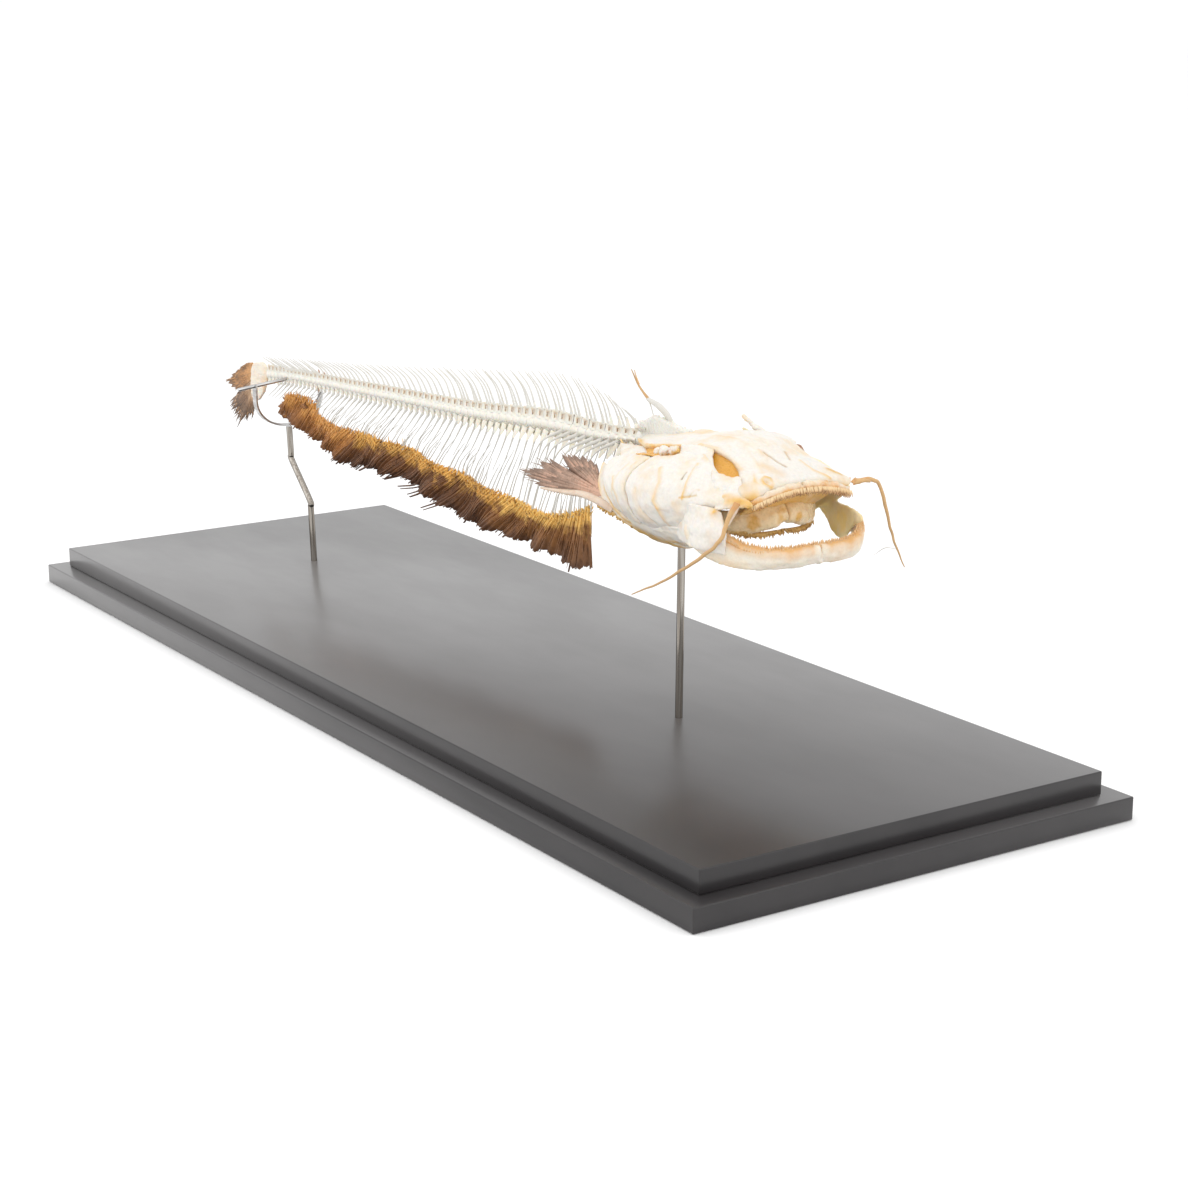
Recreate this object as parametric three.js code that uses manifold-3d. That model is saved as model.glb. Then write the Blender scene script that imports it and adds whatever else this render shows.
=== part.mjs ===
// Mounted skeleton of a wels catfish on a stepped black board, as a still museum model.
// Millimetres, +Z up, +X towards the head, origin at the bottom centre of the board.
import * as THREE from 'three';
import Module from 'manifold-3d';
import { mergeVertices } from 'three/addons/utils/BufferGeometryUtils.js';

const wasm = await Module();
wasm.setup();

// ---------------------------------------------------------------- driving dimensions
const lowerBoard = { length: 746, width: 262, height: 12 };
const upperBoard = { length: 724, width: 240, height: 12 };
const boardTop = lowerBoard.height + upperBoard.height;
const boardEdge = 1;
const gap = 0.3;

const rodDiameter = 4;
const rodDepth = 9;
const frontRod = { foot: 176.2, top: 178, height: 116.2 };
const rearRod = { foot: -237.7, bendLow: 62.4, lowX: -239.9, bendHigh: 87.8, highX: -266.3, topX: -267.7 };
const cradle = { x: -267.7, floor: 110, arm: 23.5, width: 5, thickness: 1.2, prongZ: 139.5, prong: 2.4 };

// Vertebral column: centre height, height of the arch above it and depth of the keel below it.
const columnStations = [
  { x: -296, z: 139, up: 4.0, down: 3.6, side: 1.6 },
  { x: -261, z: 142.4, up: 5.0, down: 5.4, side: 2.1 },
  { x: -136, z: 148.4, up: 6.2, down: 6.6, side: 2.8 },
  { x: -27, z: 153.8, up: 6.8, down: 7.4, side: 3.4 },
  { x: 61, z: 160.2, up: 8.2, down: 7.8, side: 4.0 },
  { x: 103, z: 161.6, up: 6.7, down: 7.0, side: 4.4 },
  { x: 141, z: 165.2, up: 4.9, down: 5.0, side: 4.6 },
];
const vertebraCount = 66;
const firstSpine = 3;
const firstRib = 56;
const lastRib = 63;
const neuralTips = [
  { x: -305, z: 149.6 },
  { x: -248, z: 155.6 },
  { x: -165, z: 163.5 },
  { x: -103, z: 170.6 },
  { x: -52, z: 176.3 },
  { x: 1, z: 182.3 },
  { x: 48, z: 188 },
  { x: 77, z: 189.2 },
  { x: 103, z: 185.4 },
  { x: 131, z: 176.3 },
];
const neuralSweep = { front: 16, rear: 29 };
const straightSpines = 14;
const spineThickness = 0.6;

// Anal fin: line where the rays leave their supports, and line of the ray tips.
const analTop = [
  { x: -283, z: 118.6 },
  { x: -272, z: 127 },
  { x: -250, z: 131 },
  { x: -234, z: 127.4 },
  { x: -226, z: 120.8 },
  { x: -168, z: 118.4 },
  { x: -109, z: 119 },
  { x: -68, z: 115.2 },
  { x: -2, z: 110.8 },
  { x: 40, z: 107.8 },
  { x: 68, z: 111.5 },
  { x: 93, z: 120 },
];
const analTips = [
  { x: -285, z: 116.5 },
  { x: -271, z: 113.8 },
  { x: -263, z: 113.6 },
  { x: -255, z: 108.6 },
  { x: -225, z: 103.4 },
  { x: -200, z: 97 },
  { x: -130, z: 99.4 },
  { x: -94, z: 95.6 },
  { x: -48, z: 88 },
  { x: 21, z: 87.6 },
  { x: 56, z: 86.4 },
  { x: 76, z: 81 },
  { x: 98, z: 92 },
];
const analRays = 84;
const analLengths = 4;
const analThickness = 2.4;
const analWave = { height: 2.2, length: 62 };
const analFlare = 1.6;
const supportOffset = 1.8;

const pectoralRoot = new THREE.Vector3(169.4, -46.2, 144.6);

// ---------------------------------------------------------------- colours and finishes
const finishes = {
  board: { color: 0x171718, roughness: 0.38, metalness: 0.0 },
  steel: { color: 0xb4b2ae, roughness: 0.22, metalness: 1.0 },
  bone: { color: 0xf1ead9, roughness: 0.55, metalness: 0.0 },
  pale: { color: 0xe9e6dc, roughness: 0.5, metalness: 0.0 },
  amber: { color: 0xd9b27a, roughness: 0.45, metalness: 0.0 },
  fin: { color: 0x8a5c2c, roughness: 0.6, metalness: 0.0 },
  darkFin: { color: 0x7d6252, roughness: 0.6, metalness: 0.0 },
};

const fish = new THREE.Group();

function place(name, geometry, finish) {
  const mesh = new THREE.Mesh(geometry, new THREE.MeshStandardMaterial(finishes[finish]));
  mesh.name = name;
  fish.add(mesh);
}

// ---------------------------------------------------------------- geometry helpers
const vec = (x, y, z) => new THREE.Vector3(x, y, z);
const lerp = THREE.MathUtils.lerp;
const rad = THREE.MathUtils.degToRad;

// Value of one field of a station list at x, on a smooth curve through the stations.
function along(stations, field, x) {
  const last = stations.length - 1;
  if (x <= stations[0].x) return stations[0][field];
  if (x >= stations[last].x) return stations[last][field];
  let i = 0;
  while (stations[i + 1].x < x) i += 1;
  const slope = (k) => {
    const a = stations[Math.max(k - 1, 0)];
    const b = stations[Math.min(k + 1, last)];
    return (b[field] - a[field]) / (b.x - a.x);
  };
  const span = stations[i + 1].x - stations[i].x;
  const t = (x - stations[i].x) / span;
  const [p, q] = [stations[i][field], stations[i + 1][field]];
  const curve = (2 * t ** 3 - 3 * t ** 2 + 1) * p + (3 * t ** 2 - 2 * t ** 3) * q;
  return curve + span * ((t ** 3 - 2 * t ** 2 + t) * slope(i) + (t ** 3 - t ** 2) * slope(i + 1));
}

function volume(geometry) {
  const p = geometry.attributes.position;
  const index = geometry.index;
  const [a, b, c] = [vec(), vec(), vec()];
  let sum = 0;
  for (let i = 0; i < index.count; i += 3) {
    a.fromBufferAttribute(p, index.getX(i));
    b.fromBufferAttribute(p, index.getX(i + 1));
    c.fromBufferAttribute(p, index.getX(i + 2));
    sum += a.dot(b.cross(c));
  }
  return sum / 6;
}

function fromFaces(points, faces) {
  const geometry = new THREE.BufferGeometry().setFromPoints(points);
  geometry.setIndex(faces);
  if (volume(geometry) < 0) {
    geometry.setIndex(faces.map((f, i) => faces[i - (i % 3) + ((3 - (i % 3)) % 3)]));
  }
  return geometry;
}

// Skin over a row of rings of equal length, closed by a fan on each end.
function loft(rings) {
  const n = rings[0].length;
  const points = rings.flat();
  const faces = [];
  for (let r = 0; r + 1 < rings.length; r += 1) {
    for (let i = 0; i < n; i += 1) {
      const [a, b] = [r * n + i, r * n + ((i + 1) % n)];
      faces.push(a, b, a + n, b, b + n, a + n);
    }
  }
  const end = (rings.length - 1) * n;
  for (let i = 1; i + 1 < n; i += 1) {
    faces.push(0, i + 1, i);
    faces.push(end, end + i, end + i + 1);
  }
  return fromFaces(points, faces);
}

// Tube of given half-width and half-height along points; side is the direction of the width.
function limb(points, sizes, sides = 6, steps = points.length * 2, side = vec(0, 1, 0)) {
  const path = new THREE.CatmullRomCurve3(points, false, 'centripetal');
  const rings = [];
  for (let s = 0; s <= steps; s += 1) {
    const t = s / steps;
    const centre = path.getPoint(t);
    const tangent = path.getTangent(t);
    const up = tangent.clone().cross(side).normalize();
    const across = up.clone().cross(tangent).normalize();
    const k = t * (sizes.length - 1);
    const i = Math.min(Math.floor(k), sizes.length - 2);
    const [w, h] = [0, 1].map((j) => lerp(sizes[i][j], sizes[i + 1][j], k - i));
    rings.push(Array.from({ length: sides }, (_, m) => {
      const a = (2 * Math.PI * (m + 0.5)) / sides;
      return centre.clone().addScaledVector(across, w * Math.cos(a)).addScaledVector(up, h * Math.sin(a));
    }));
  }
  return loft(rings);
}

// Thin curved plate: a surface of u and v given a thickness that may change over it.
function plate(surface, thickness, columns, rows) {
  const size = (columns + 1) * (rows + 1);
  const [outer, inner, faces] = [[], [], []];
  const step = 0.01;
  for (let j = 0; j <= rows; j += 1) {
    for (let i = 0; i <= columns; i += 1) {
      const [u, v] = [i / columns, j / rows];
      const du = surface(Math.min(u + step, 1), v).sub(surface(Math.max(u - step, 0), v));
      const dv = surface(u, Math.min(v + step, 1)).sub(surface(u, Math.max(v - step, 0)));
      const normal = du.cross(dv).normalize();
      const half = thickness(u, v) / 2;
      outer.push(surface(u, v).addScaledVector(normal, half));
      inner.push(surface(u, v).addScaledVector(normal, -half));
    }
  }
  const at = (i, j) => j * (columns + 1) + i;
  const quad = (a, b, c, d) => faces.push(a, b, c, a, c, d);
  for (let j = 0; j < rows; j += 1) {
    for (let i = 0; i < columns; i += 1) {
      const ring = [at(i, j), at(i + 1, j), at(i + 1, j + 1), at(i, j + 1)];
      quad(...ring);
      quad(...ring.map((k) => k + size).reverse());
    }
  }
  for (let i = 0; i < columns; i += 1) {
    quad(at(i + 1, 0), at(i, 0), at(i, 0) + size, at(i + 1, 0) + size);
    quad(at(i, rows), at(i + 1, rows), at(i + 1, rows) + size, at(i, rows) + size);
  }
  for (let j = 0; j < rows; j += 1) {
    quad(at(0, j), at(0, j + 1), at(0, j + 1) + size, at(0, j) + size);
    quad(at(columns, j + 1), at(columns, j), at(columns, j) + size, at(columns, j + 1) + size);
  }
  return fromFaces([...outer, ...inner], faces);
}

function solid(geometry) {
  const bare = geometry.clone();
  bare.deleteAttribute('normal');
  bare.deleteAttribute('uv');
  const merged = mergeVertices(bare, 1e-4);
  const vertProperties = new Float32Array(merged.attributes.position.array);
  const triVerts = new Uint32Array(merged.index.array);
  return new wasm.Manifold(new wasm.Mesh({ numProp: 3, vertProperties, triVerts }));
}

function geometryOf(manifold) {
  const mesh = manifold.getMesh();
  const geometry = new THREE.BufferGeometry();
  geometry.setAttribute('position', new THREE.BufferAttribute(mesh.vertProperties, 3));
  geometry.setIndex(new THREE.BufferAttribute(mesh.triVerts, 1));
  return geometry;
}

function join(geometries) {
  return geometryOf(geometries.map(solid).reduce((whole, next) => whole.add(next)));
}

function cut(geometry, tools) {
  return geometryOf(tools.map(solid).reduce((whole, tool) => whole.subtract(tool), solid(geometry)));
}

function mirrored(geometry) {
  const other = geometry.clone().scale(1, -1, 1);
  const faces = Array.from(other.index.array);
  other.setIndex(faces.map((f, i) => faces[i - (i % 3) + ((3 - (i % 3)) % 3)]));
  return other;
}

function cylinder(radius, height, x, y, z, sides) {
  return new THREE.CylinderGeometry(radius, radius, height, sides).rotateX(Math.PI / 2).translate(x, y, z);
}

// ---------------------------------------------------------------- board and rods
function board(size, bottom) {
  const half = [size.length / 2 - boardEdge, size.width / 2 - boardEdge];
  const shape = new THREE.Shape();
  shape.absarc(half[0], half[1], boardEdge, 0, rad(90));
  shape.absarc(-half[0], half[1], boardEdge, rad(90), rad(180));
  shape.absarc(-half[0], -half[1], boardEdge, rad(180), rad(270));
  shape.absarc(half[0], -half[1], boardEdge, rad(270), rad(360));
  const settings = { depth: size.height, bevelEnabled: false, curveSegments: 1 };
  return new THREE.ExtrudeGeometry(shape, settings).translate(0, 0, bottom);
}

function rodHole(x) {
  return cylinder(rodDiameter / 2 + gap, rodDepth * 2, x, 0, boardTop, 8);
}

function rod(points) {
  const size = [rodDiameter / 2, rodDiameter / 2];
  const rings = points.map((p, i) => {
    const before = points[Math.max(i - 1, 0)];
    const after = points[Math.min(i + 1, points.length - 1)];
    const tangent = after.clone().sub(before).normalize();
    const across = vec(0, 1, 0);
    const up = tangent.clone().cross(across);
    return Array.from({ length: 8 }, (_, m) => {
      const a = (2 * Math.PI * m) / 8;
      return p.clone()
        .addScaledVector(across, size[0] * Math.cos(a))
        .addScaledVector(up, size[1] * Math.sin(a));
    });
  });
  return loft(rings);
}

function stand() {
  place('base_lower', board(lowerBoard, 0), 'board');
  const holes = [rodHole(frontRod.foot), rodHole(rearRod.foot)];
  place('base_upper', cut(board(upperBoard, lowerBoard.height), holes), 'board');
  const foot = boardTop - rodDepth + gap;
  place('rod_front', rod([
    vec(frontRod.foot, 0, foot),
    vec(frontRod.foot, 0, boardTop),
    vec(frontRod.top, 0, frontRod.height),
  ]), 'steel');
  place('rod_rear', rod([
    vec(rearRod.foot, 0, foot),
    vec(rearRod.foot, 0, boardTop),
    vec(rearRod.lowX, 0, rearRod.bendLow),
    vec(rearRod.highX, 0, rearRod.bendHigh),
    vec(rearRod.topX, 0, cradle.floor - cradle.thickness - gap),
  ]), 'steel');
  place('tail_cradle', tailCradle(), 'steel');
}

// Flat strip bent to a U across the tail stem, with a round prong from each arm towards it.
function tailCradle() {
  const strip = plate((u, v) => {
    const a = lerp(-102, 102, u);
    const reach = Math.min(Math.abs(a), 90);
    const y = Math.sign(a) * cradle.arm * Math.sin(rad(reach)) ** 0.9;
    const rise = 18 * (1 - Math.cos(rad(reach)));
    const straight = Math.max(Math.abs(a) - 90, 0);
    return vec(cradle.x + lerp(-0.5, 0.5, v) * cradle.width, y, cradle.floor + rise + straight * 0.85);
  }, () => cradle.thickness, 12, 1);
  const prong = (sign) => limb(
    [
      vec(cradle.x, sign * (cradle.arm + 12), cradle.prongZ - 3.4),
      vec(cradle.x, sign * 3, cradle.prongZ + 0.4),
    ],
    [[cradle.prong / 2, cradle.prong / 2], [cradle.prong / 2, cradle.prong / 2]], 6, 1, vec(1, 0, 0));
  return join([strip, prong(1), prong(-1)]);
}

// ---------------------------------------------------------------- vertebral column
const columnStart = columnStations[0].x;
const columnEnd = columnStations[columnStations.length - 1].x;

// Place of the joint between vertebrae i and i + 1, counted from the tail; they lengthen forwards.
function joint(i) {
  const t = i / vertebraCount;
  return lerp(columnStart, columnEnd, t * (0.8 + 0.2 * t));
}

function columnRing(x, size) {
  const [z, up, down, side] = ['z', 'up', 'down', 'side'].map((f) => along(columnStations, f, x));
  const outline = [[0, up], [1, -0.1 * down], [0, -down], [-1, -0.1 * down]];
  return outline.map(([y, h]) => vec(x, y * side * size, z + h * (0.5 + 0.5 * size)));
}

function centra(from, to) {
  const rings = [];
  for (let i = from; i < to; i += 1) {
    const [a, b] = [joint(i), joint(i + 1)];
    rings.push(columnRing(a + (i === from ? gap / 2 : 0), 1));
    rings.push(columnRing((a + b) / 2, 0.68));
  }
  rings.push(columnRing(joint(to) - gap / 2, 1));
  return loft(rings);
}

// Slender three-sided spine through points, thinning to its tip.
function spine(points, root, tip) {
  return limb(points, [[root, root * 1.3], [tip, tip]], 3, points.length - 1);
}

// Spines leave their vertebra a little ahead of its waist.
function spineRoot(i) {
  return lerp(joint(i), joint(i + 1), 0.74);
}

function neuralSpine(i) {
  const x = spineRoot(i);
  const forward = (x - columnStart) / (columnEnd - columnStart);
  const tipX = x - lerp(neuralSweep.rear, neuralSweep.front, forward ** 1.4);
  const base = along(columnStations, 'z', x) + along(columnStations, 'up', x) * 0.74;
  const tipZ = along(neuralTips, 'z', tipX);
  const [root, tip] = [spineThickness * 0.8, spineThickness * 0.5];
  if (i < straightSpines) return spine([vec(x, 0, base), vec(tipX, 0, tipZ)], root, tip);
  const middle = vec(lerp(x, tipX, lerp(0.27, 0.42, forward)), 0, lerp(base, tipZ, 0.62));
  return spine([vec(x, 0, base), middle, vec(tipX, 0, tipZ)], root, tip);
}

// Backward run of the lower spines and of the fin's supports for each millimetre of drop.
const lowerLean = [{ x: -280, run: 1.7 }, { x: -165, run: 1.5 }, { x: 0, run: 0.74 }, { x: 88, run: 0.3 }];

function haemalSpine(i) {
  const x = spineRoot(i);
  const base = along(columnStations, 'z', x) - along(columnStations, 'down', x) * 0.8;
  const lean = along(lowerLean, 'run', x);
  const drop = Math.max(base - along(analTop, 'z', x - lean * 16), 8) * 0.6;
  const tip = vec(x - lean * drop, 0, base - drop);
  return spine([vec(x, 0, base), tip], spineThickness * 0.9, spineThickness * 0.5);
}

// Ribs grow from the sides of the front vertebrae and curve out, back and down.
function rib(i, side) {
  const x = spineRoot(i);
  const z = along(columnStations, 'z', x) - 1.6;
  const size = 1 - 0.05 * Math.abs(i - 60);
  const points = [
    vec(x, side * 1.2, z),
    vec(x - 9 * size, side * (3 + 10 * size), z - 8 * size),
    vec(x - 21 * size, side * (3 + 12 * size), z - 26 * size),
  ];
  return limb(points, [[0.7, 0.9], [0.35, 0.4]], 3, 2);
}

function spineLengths() {
  const lengths = [
    ['spine_tail_rear', 0, 17],
    ['spine_tail_middle', 17, 33],
    ['spine_tail_front', 33, 48],
    ['spine_trunk', 48, vertebraCount],
  ];
  for (const [name, from, to] of lengths) {
    const pieces = [centra(from, to)];
    for (let i = Math.max(from, firstSpine); i < to; i += 1) {
      pieces.push(neuralSpine(i));
      if (i < firstRib) pieces.push(haemalSpine(i));
      else if (i <= lastRib) pieces.push(rib(i, -1), rib(i, 1));
    }
    place(name, join(pieces), 'pale');
  }
}

// ---------------------------------------------------------------- fins
function analY(x) {
  return analWave.height * Math.sin((2 * Math.PI * x) / analWave.length);
}

// Point of the anal fin on ray r, counted from the rear, at depth v from its root to its tip.
function analPoint(r, v) {
  const t = r / analRays;
  const x = lerp(analTop[0].x, analTop[analTop.length - 1].x, t);
  const tipX = lerp(analTips[0].x, analTips[analTips.length - 1].x, t);
  const notch = Math.round(r) % 2 ? 0 : 2.2;
  const tip = vec(tipX - 1.2, 0, along(analTips, 'z', tipX) - notch);
  const point = vec(x, 0, along(analTop, 'z', x)).lerp(tip, v);
  return point.setY(analY(point.x) + analFlare * v * Math.sin(r * 0.9));
}

function analLength(from, to) {
  const last = to - gap * 0.18;
  return plate(
    (u, v) => analPoint(lerp(from, last, u), v),
    (u, v) => lerp(analThickness, analThickness * 0.6, v), to - from, 1);
}

// Thin supports that rise from the fin beside the lower spines of the column.
function analSupport(r) {
  const x = lerp(analTop[0].x, analTop[analTop.length - 1].x, (r + 0.5) / analRays);
  const z = along(analTop, 'z', x);
  const lean = along(lowerLean, 'run', x);
  const ceiling = along(columnStations, 'z', x) - along(columnStations, 'down', x) - 2;
  const rise = Math.max((ceiling - z) * 0.72, 4);
  const beside = analY(x) < 0 ? -supportOffset : supportOffset;
  const top = vec(x + lean * rise, beside, z + rise);
  return spine([vec(x, analY(x), z - 2), top], spineThickness * 0.8, spineThickness * 0.45);
}

function analFin() {
  for (let k = 0; k < analLengths; k += 1) {
    const from = (analRays / analLengths) * k;
    const to = (analRays / analLengths) * (k + 1);
    const pieces = [analLength(from, to)];
    for (let r = from + 2; r < to; r += 4) pieces.push(analSupport(r));
    place(`anal_fin_${k + 1}`, join(pieces), 'fin');
  }
}

// Fan of rays about a root: an extruded outline with a notch between each two tips.
function fan(root, tips, thickness) {
  const points = [...root];
  tips.forEach(([x, z], i) => {
    points.push(new THREE.Vector2(x, z));
    if (i + 1 < tips.length) {
      const next = tips[i + 1];
      const middle = [(x + next[0]) / 2, (z + next[1]) / 2];
      const centre = [(root[0].x + root[root.length - 1].x) / 2, (root[0].y + root[root.length - 1].y) / 2];
      points.push(new THREE.Vector2(lerp(middle[0], centre[0], 0.22), lerp(middle[1], centre[1], 0.22)));
    }
  });
  const settings = { depth: thickness, bevelEnabled: false };
  return new THREE.ExtrudeGeometry(new THREE.Shape(points), settings)
    .rotateX(Math.PI / 2).translate(0, thickness / 2, 0);
}

const hypuralThickness = 1.8;
const finThickness = 1.4;

function caudalFin() {
  const plateShape = new THREE.Shape([
    new THREE.Vector2(-296.6, 143), new THREE.Vector2(-303, 146.5), new THREE.Vector2(-319.5, 143.6),
    new THREE.Vector2(-321.5, 131), new THREE.Vector2(-322, 119.4), new THREE.Vector2(-312, 119),
    new THREE.Vector2(-303, 126), new THREE.Vector2(-296.6, 135.5),
  ]);
  const hypural = new THREE.ExtrudeGeometry(plateShape, { depth: hypuralThickness, bevelEnabled: false })
    .rotateX(Math.PI / 2).translate(0, hypuralThickness / 2, 0);
  place('tail_plate', hypural, 'bone');
  const upper = fan(
    [new THREE.Vector2(-322, 132), new THREE.Vector2(-320, 143.2)],
    [
      [-331, 141.4], [-341, 137], [-350, 132.6], [-358, 128.5], [-361.5, 124.8], [-352, 120.6],
      [-342, 122],
    ], finThickness);
  place('tail_fin_upper', upper, 'fin');
  const lower = fan(
    [new THREE.Vector2(-322.6, 118.6), new THREE.Vector2(-322, 130.6)],
    [
      [-348, 118], [-357, 112.5], [-359, 106], [-353, 100.4], [-349, 96], [-340, 99.4],
      [-330, 104], [-319.4, 109.6],
    ], finThickness);
  place('tail_fin_lower', lower, 'darkFin');
}

function dorsalFin() {
  const support = limb([vec(168, 0, 180.3), vec(159, 0, 184.4), vec(147.2, 0, 187.2)],
    [[1.3, 1.9], [1.3, 2.2], [1, 1.4]], 5, 3);
  const strut = limb([vec(152.6, 0, 180.8), vec(148.8, 0, 186.8)], [[0.5, 0.5], [0.6, 0.6]], 4, 1);
  const ray = limb([vec(148, 0, 186.9), vec(139.6, 0, 192.8), vec(132.4, 0, 200.6)],
    [[0.8, 0.9], [0.6, 0.7], [0.3, 0.35]], 4, 3);
  place('dorsal_fin', join([support, strut, ray]), 'bone');
}

// Pectoral fin: a stout first spine and a fan of soft rays with frayed tips.
const pectoralSpineTip = vec(115.6, -47, 140.4);
const pectoralRayTips = [
  vec(91, -46, 147), vec(105, -40, 152.4), vec(109, -36.4, 157), vec(116, -32, 157),
  vec(124, -28.5, 158.6), vec(133, -26, 157), vec(142, -26, 154.4),
];

function pectoralFin() {
  const root = pectoralRoot;
  const bar = limb([root, root.clone().lerp(pectoralSpineTip, 0.5).add(vec(0, -0.8, -0.6)), pectoralSpineTip],
    [[2, 2.2], [1.4, 1.6], [0.7, 0.8]], 6, 4);
  const count = pectoralRayTips.length - 1;
  const web = plate((u, v) => {
    const k = u * count;
    const i = Math.min(Math.floor(k), count - 1);
    const tip = pectoralRayTips[i].clone().lerp(pectoralRayTips[i + 1], k - i);
    const fray = Math.abs((k % 1) - 0.5) < 0.2 && v > 0.9 ? 0.84 : 1;
    const bow = 1.5 * Math.sin(Math.PI * v);
    const start = root.clone().add(vec(-1, 0.2, 0.8 + u * 3.4));
    return start.lerp(tip, (0.04 + 0.96 * v) * fray).add(vec(0, -bow, bow * 0.4));
  }, (u, v) => lerp(1.6, 0.7, v), count * 2, 2);
  return join([bar, web]);
}

function pectoralFins() {
  place('pectoral_fin_right', pectoralFin(), 'darkFin');
  place('pectoral_fin_left', mirrored(pectoralFin()), 'darkFin');
}

// ---------------------------------------------------------------- skull
const skullStations = [
  { x: 150, half: 9, edge: 168, top: 169.6, floor: 158, rim: 1.4 },
  { x: 163, half: 15, edge: 169.2, top: 171.4, floor: 154, rim: 1.4 },
  { x: 178, half: 23, edge: 170.8, top: 174, floor: 152, rim: 1.4 },
  { x: 194, half: 28, edge: 173.8, top: 176.6, floor: 151.6, rim: 1.4 },
  { x: 210, half: 28.5, edge: 176.4, top: 179.8, floor: 152.6, rim: 1.4 },
  { x: 226, half: 27, edge: 178.6, top: 182.8, floor: 154.6, rim: 1.4 },
  { x: 238, half: 23.5, edge: 179, top: 182.8, floor: 156, rim: 1.4 },
  { x: 248, half: 21, edge: 175.6, top: 180.8, floor: 157.6, rim: 1.6 },
  { x: 257, half: 22.5, edge: 171.4, top: 176.8, floor: 158.6, rim: 2.4 },
  { x: 264, half: 28.5, edge: 167.4, top: 173.4, floor: 159.4, rim: 6 },
  { x: 269, half: 32.5, edge: 164.8, top: 170.8, floor: 159.8, rim: 5.4 },
  { x: 274.4, half: 32, edge: 163.2, top: 167.4, floor: 161.2, rim: 2.4 },
];

function skullRing(s) {
  const brow = s.edge - s.floor;
  const outline = [
    [0, s.top], [0.5, s.top - (s.top - s.edge) * 0.24],
    [1, s.edge], [0.97, s.edge - s.rim], [0.66, s.edge - brow * 0.5],
    [0.44, s.floor + brow * 0.16], [0.2, s.floor],
  ];
  const right = outline.map(([y, z]) => vec(s.x, -y * s.half, z));
  const left = outline.slice(1).reverse().map(([y, z]) => vec(s.x, y * s.half, z));
  return [...right, ...left];
}

function neurocranium() {
  const body = loft(skullStations.map(skullRing));
  const nostril = (sign) => cylinder(3.2, 8, 270.5, sign * 18.8, 173, 8);
  const knob = limb([vec(190, 0, 176), vec(196.4, 0, 178), vec(202.4, 0, 178.6)],
    [[2, 1], [3, 1.3], [2.4, 1.1]], 6, 3);
  place('neurocranium', cut(join([body, knob]), [nostril(1), nostril(-1)]), 'bone');
}

// Blade over the fused first vertebrae, with a side wing that ends in a knob.
function frontVertebrae() {
  const outline = [
    [141.6, 168.4], [141, 171.4], [143, 174.6], [147.4, 177], [152, 179], [158, 178.9], [164, 178.2],
    [169.7, 177.8], [175, 176.4], [180, 175.6], [180, 175], [170, 173.4], [163, 172.3], [152, 170.9],
  ];
  const shape = new THREE.Shape(outline.map(([x, z]) => new THREE.Vector2(x, z)));
  const blade = new THREE.ExtrudeGeometry(shape, { depth: 1.2, bevelEnabled: false })
    .rotateX(Math.PI / 2).translate(0, 0.6, 0);
  const wing = (sign) => limb([vec(145.6, 0, 169.6), vec(148.4, sign * 6, 172.6), vec(153, sign * 11, 175)],
    [[1.2, 1.6], [1, 1.2], [1.5, 1.5]], 5, 3, vec(1, 0, 0));
  const body = limb([vec(141.4, 0, 166), vec(149.6, 0, 166)], [[4.4, 4.2], [5.4, 4.4]], 8, 1);
  place('front_vertebrae', join([body, blade, wing(-1), wing(1)]), 'pale');
}

// ---------------------------------------------------------------- jaws
// Plan and height of the upper tooth band against the distance from the middle.
function upperJawPoint(y) {
  const s = Math.abs(y) / 31;
  return vec(277.7 - 1.6 * s ** 2, y, 164.8 - 6 * s ** 2);
}

function upperJaw() {
  const rings = [];
  for (let k = 0; k <= 8; k += 1) {
    const y = -0.15 - (31.5 * k) / 8;
    const p = upperJawPoint(y);
    const size = k === 8 ? 0.55 : 1;
    const section = [[-2.6, -1.6], [-1, -2.2], [1.6, -1], [1.8, 1.2], [0.6, 1.9], [-2.2, -0.2]];
    rings.push(section.map(([x, z]) => p.clone().add(vec(x * size, 0, z * size + 0.2))));
  }
  return loft(rings);
}

const dentaryPlan = [
  vec(290.2, -0.2, 134.4), vec(289.6, -10, 133.6), vec(287, -20, 133.4), vec(282.6, -29, 133.8),
  vec(276, -35.8, 135), vec(267.4, -40.6, 137.6), vec(259, -43.6, 139.6), vec(251.6, -45, 141.2),
  vec(244.6, -45.2, 142.4),
];
const dentarySizes = [
  [2.6, 4.6], [2.7, 5], [2.7, 5], [2.6, 5.2], [2, 6.4], [1.4, 8.2], [1.3, 8.2], [1.5, 6.2], [1.3, 4],
];
const leftRearSizes = [[1.4, 6.6], [1.3, 5.6], [1.2, 4.4], [1.2, 3]];

function lowerJaw(rearSizes = dentarySizes.slice(-4)) {
  const sizes = [...dentarySizes.slice(0, -4), ...rearSizes];
  const path = new THREE.CatmullRomCurve3(dentaryPlan, false, 'centripetal');
  const steps = 12;
  const rings = [];
  for (let s = 0; s <= steps; s += 1) {
    const t = s / steps;
    const centre = path.getPoint(t);
    const tangent = path.getTangent(t).setZ(0).normalize();
    const out = vec(-tangent.y, tangent.x, 0);
    if (s === 0) out.set(1, 0, 0);
    const k = t * (sizes.length - 1);
    const i = Math.min(Math.floor(k), sizes.length - 2);
    const [w, h] = [0, 1].map((j) => lerp(sizes[i][j], sizes[i + 1][j], k - i));
    const section = [[-1, 0.9], [0.1, 1], [1, 0.7], [0.9, -0.3], [0.1, -1], [-0.5, -0.9], [-0.3, 0.2]];
    rings.push(section.map(([x, z]) => centre.clone().addScaledVector(out, x * w).add(vec(0, 0, z * h))));
  }
  return loft(rings);
}

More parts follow.
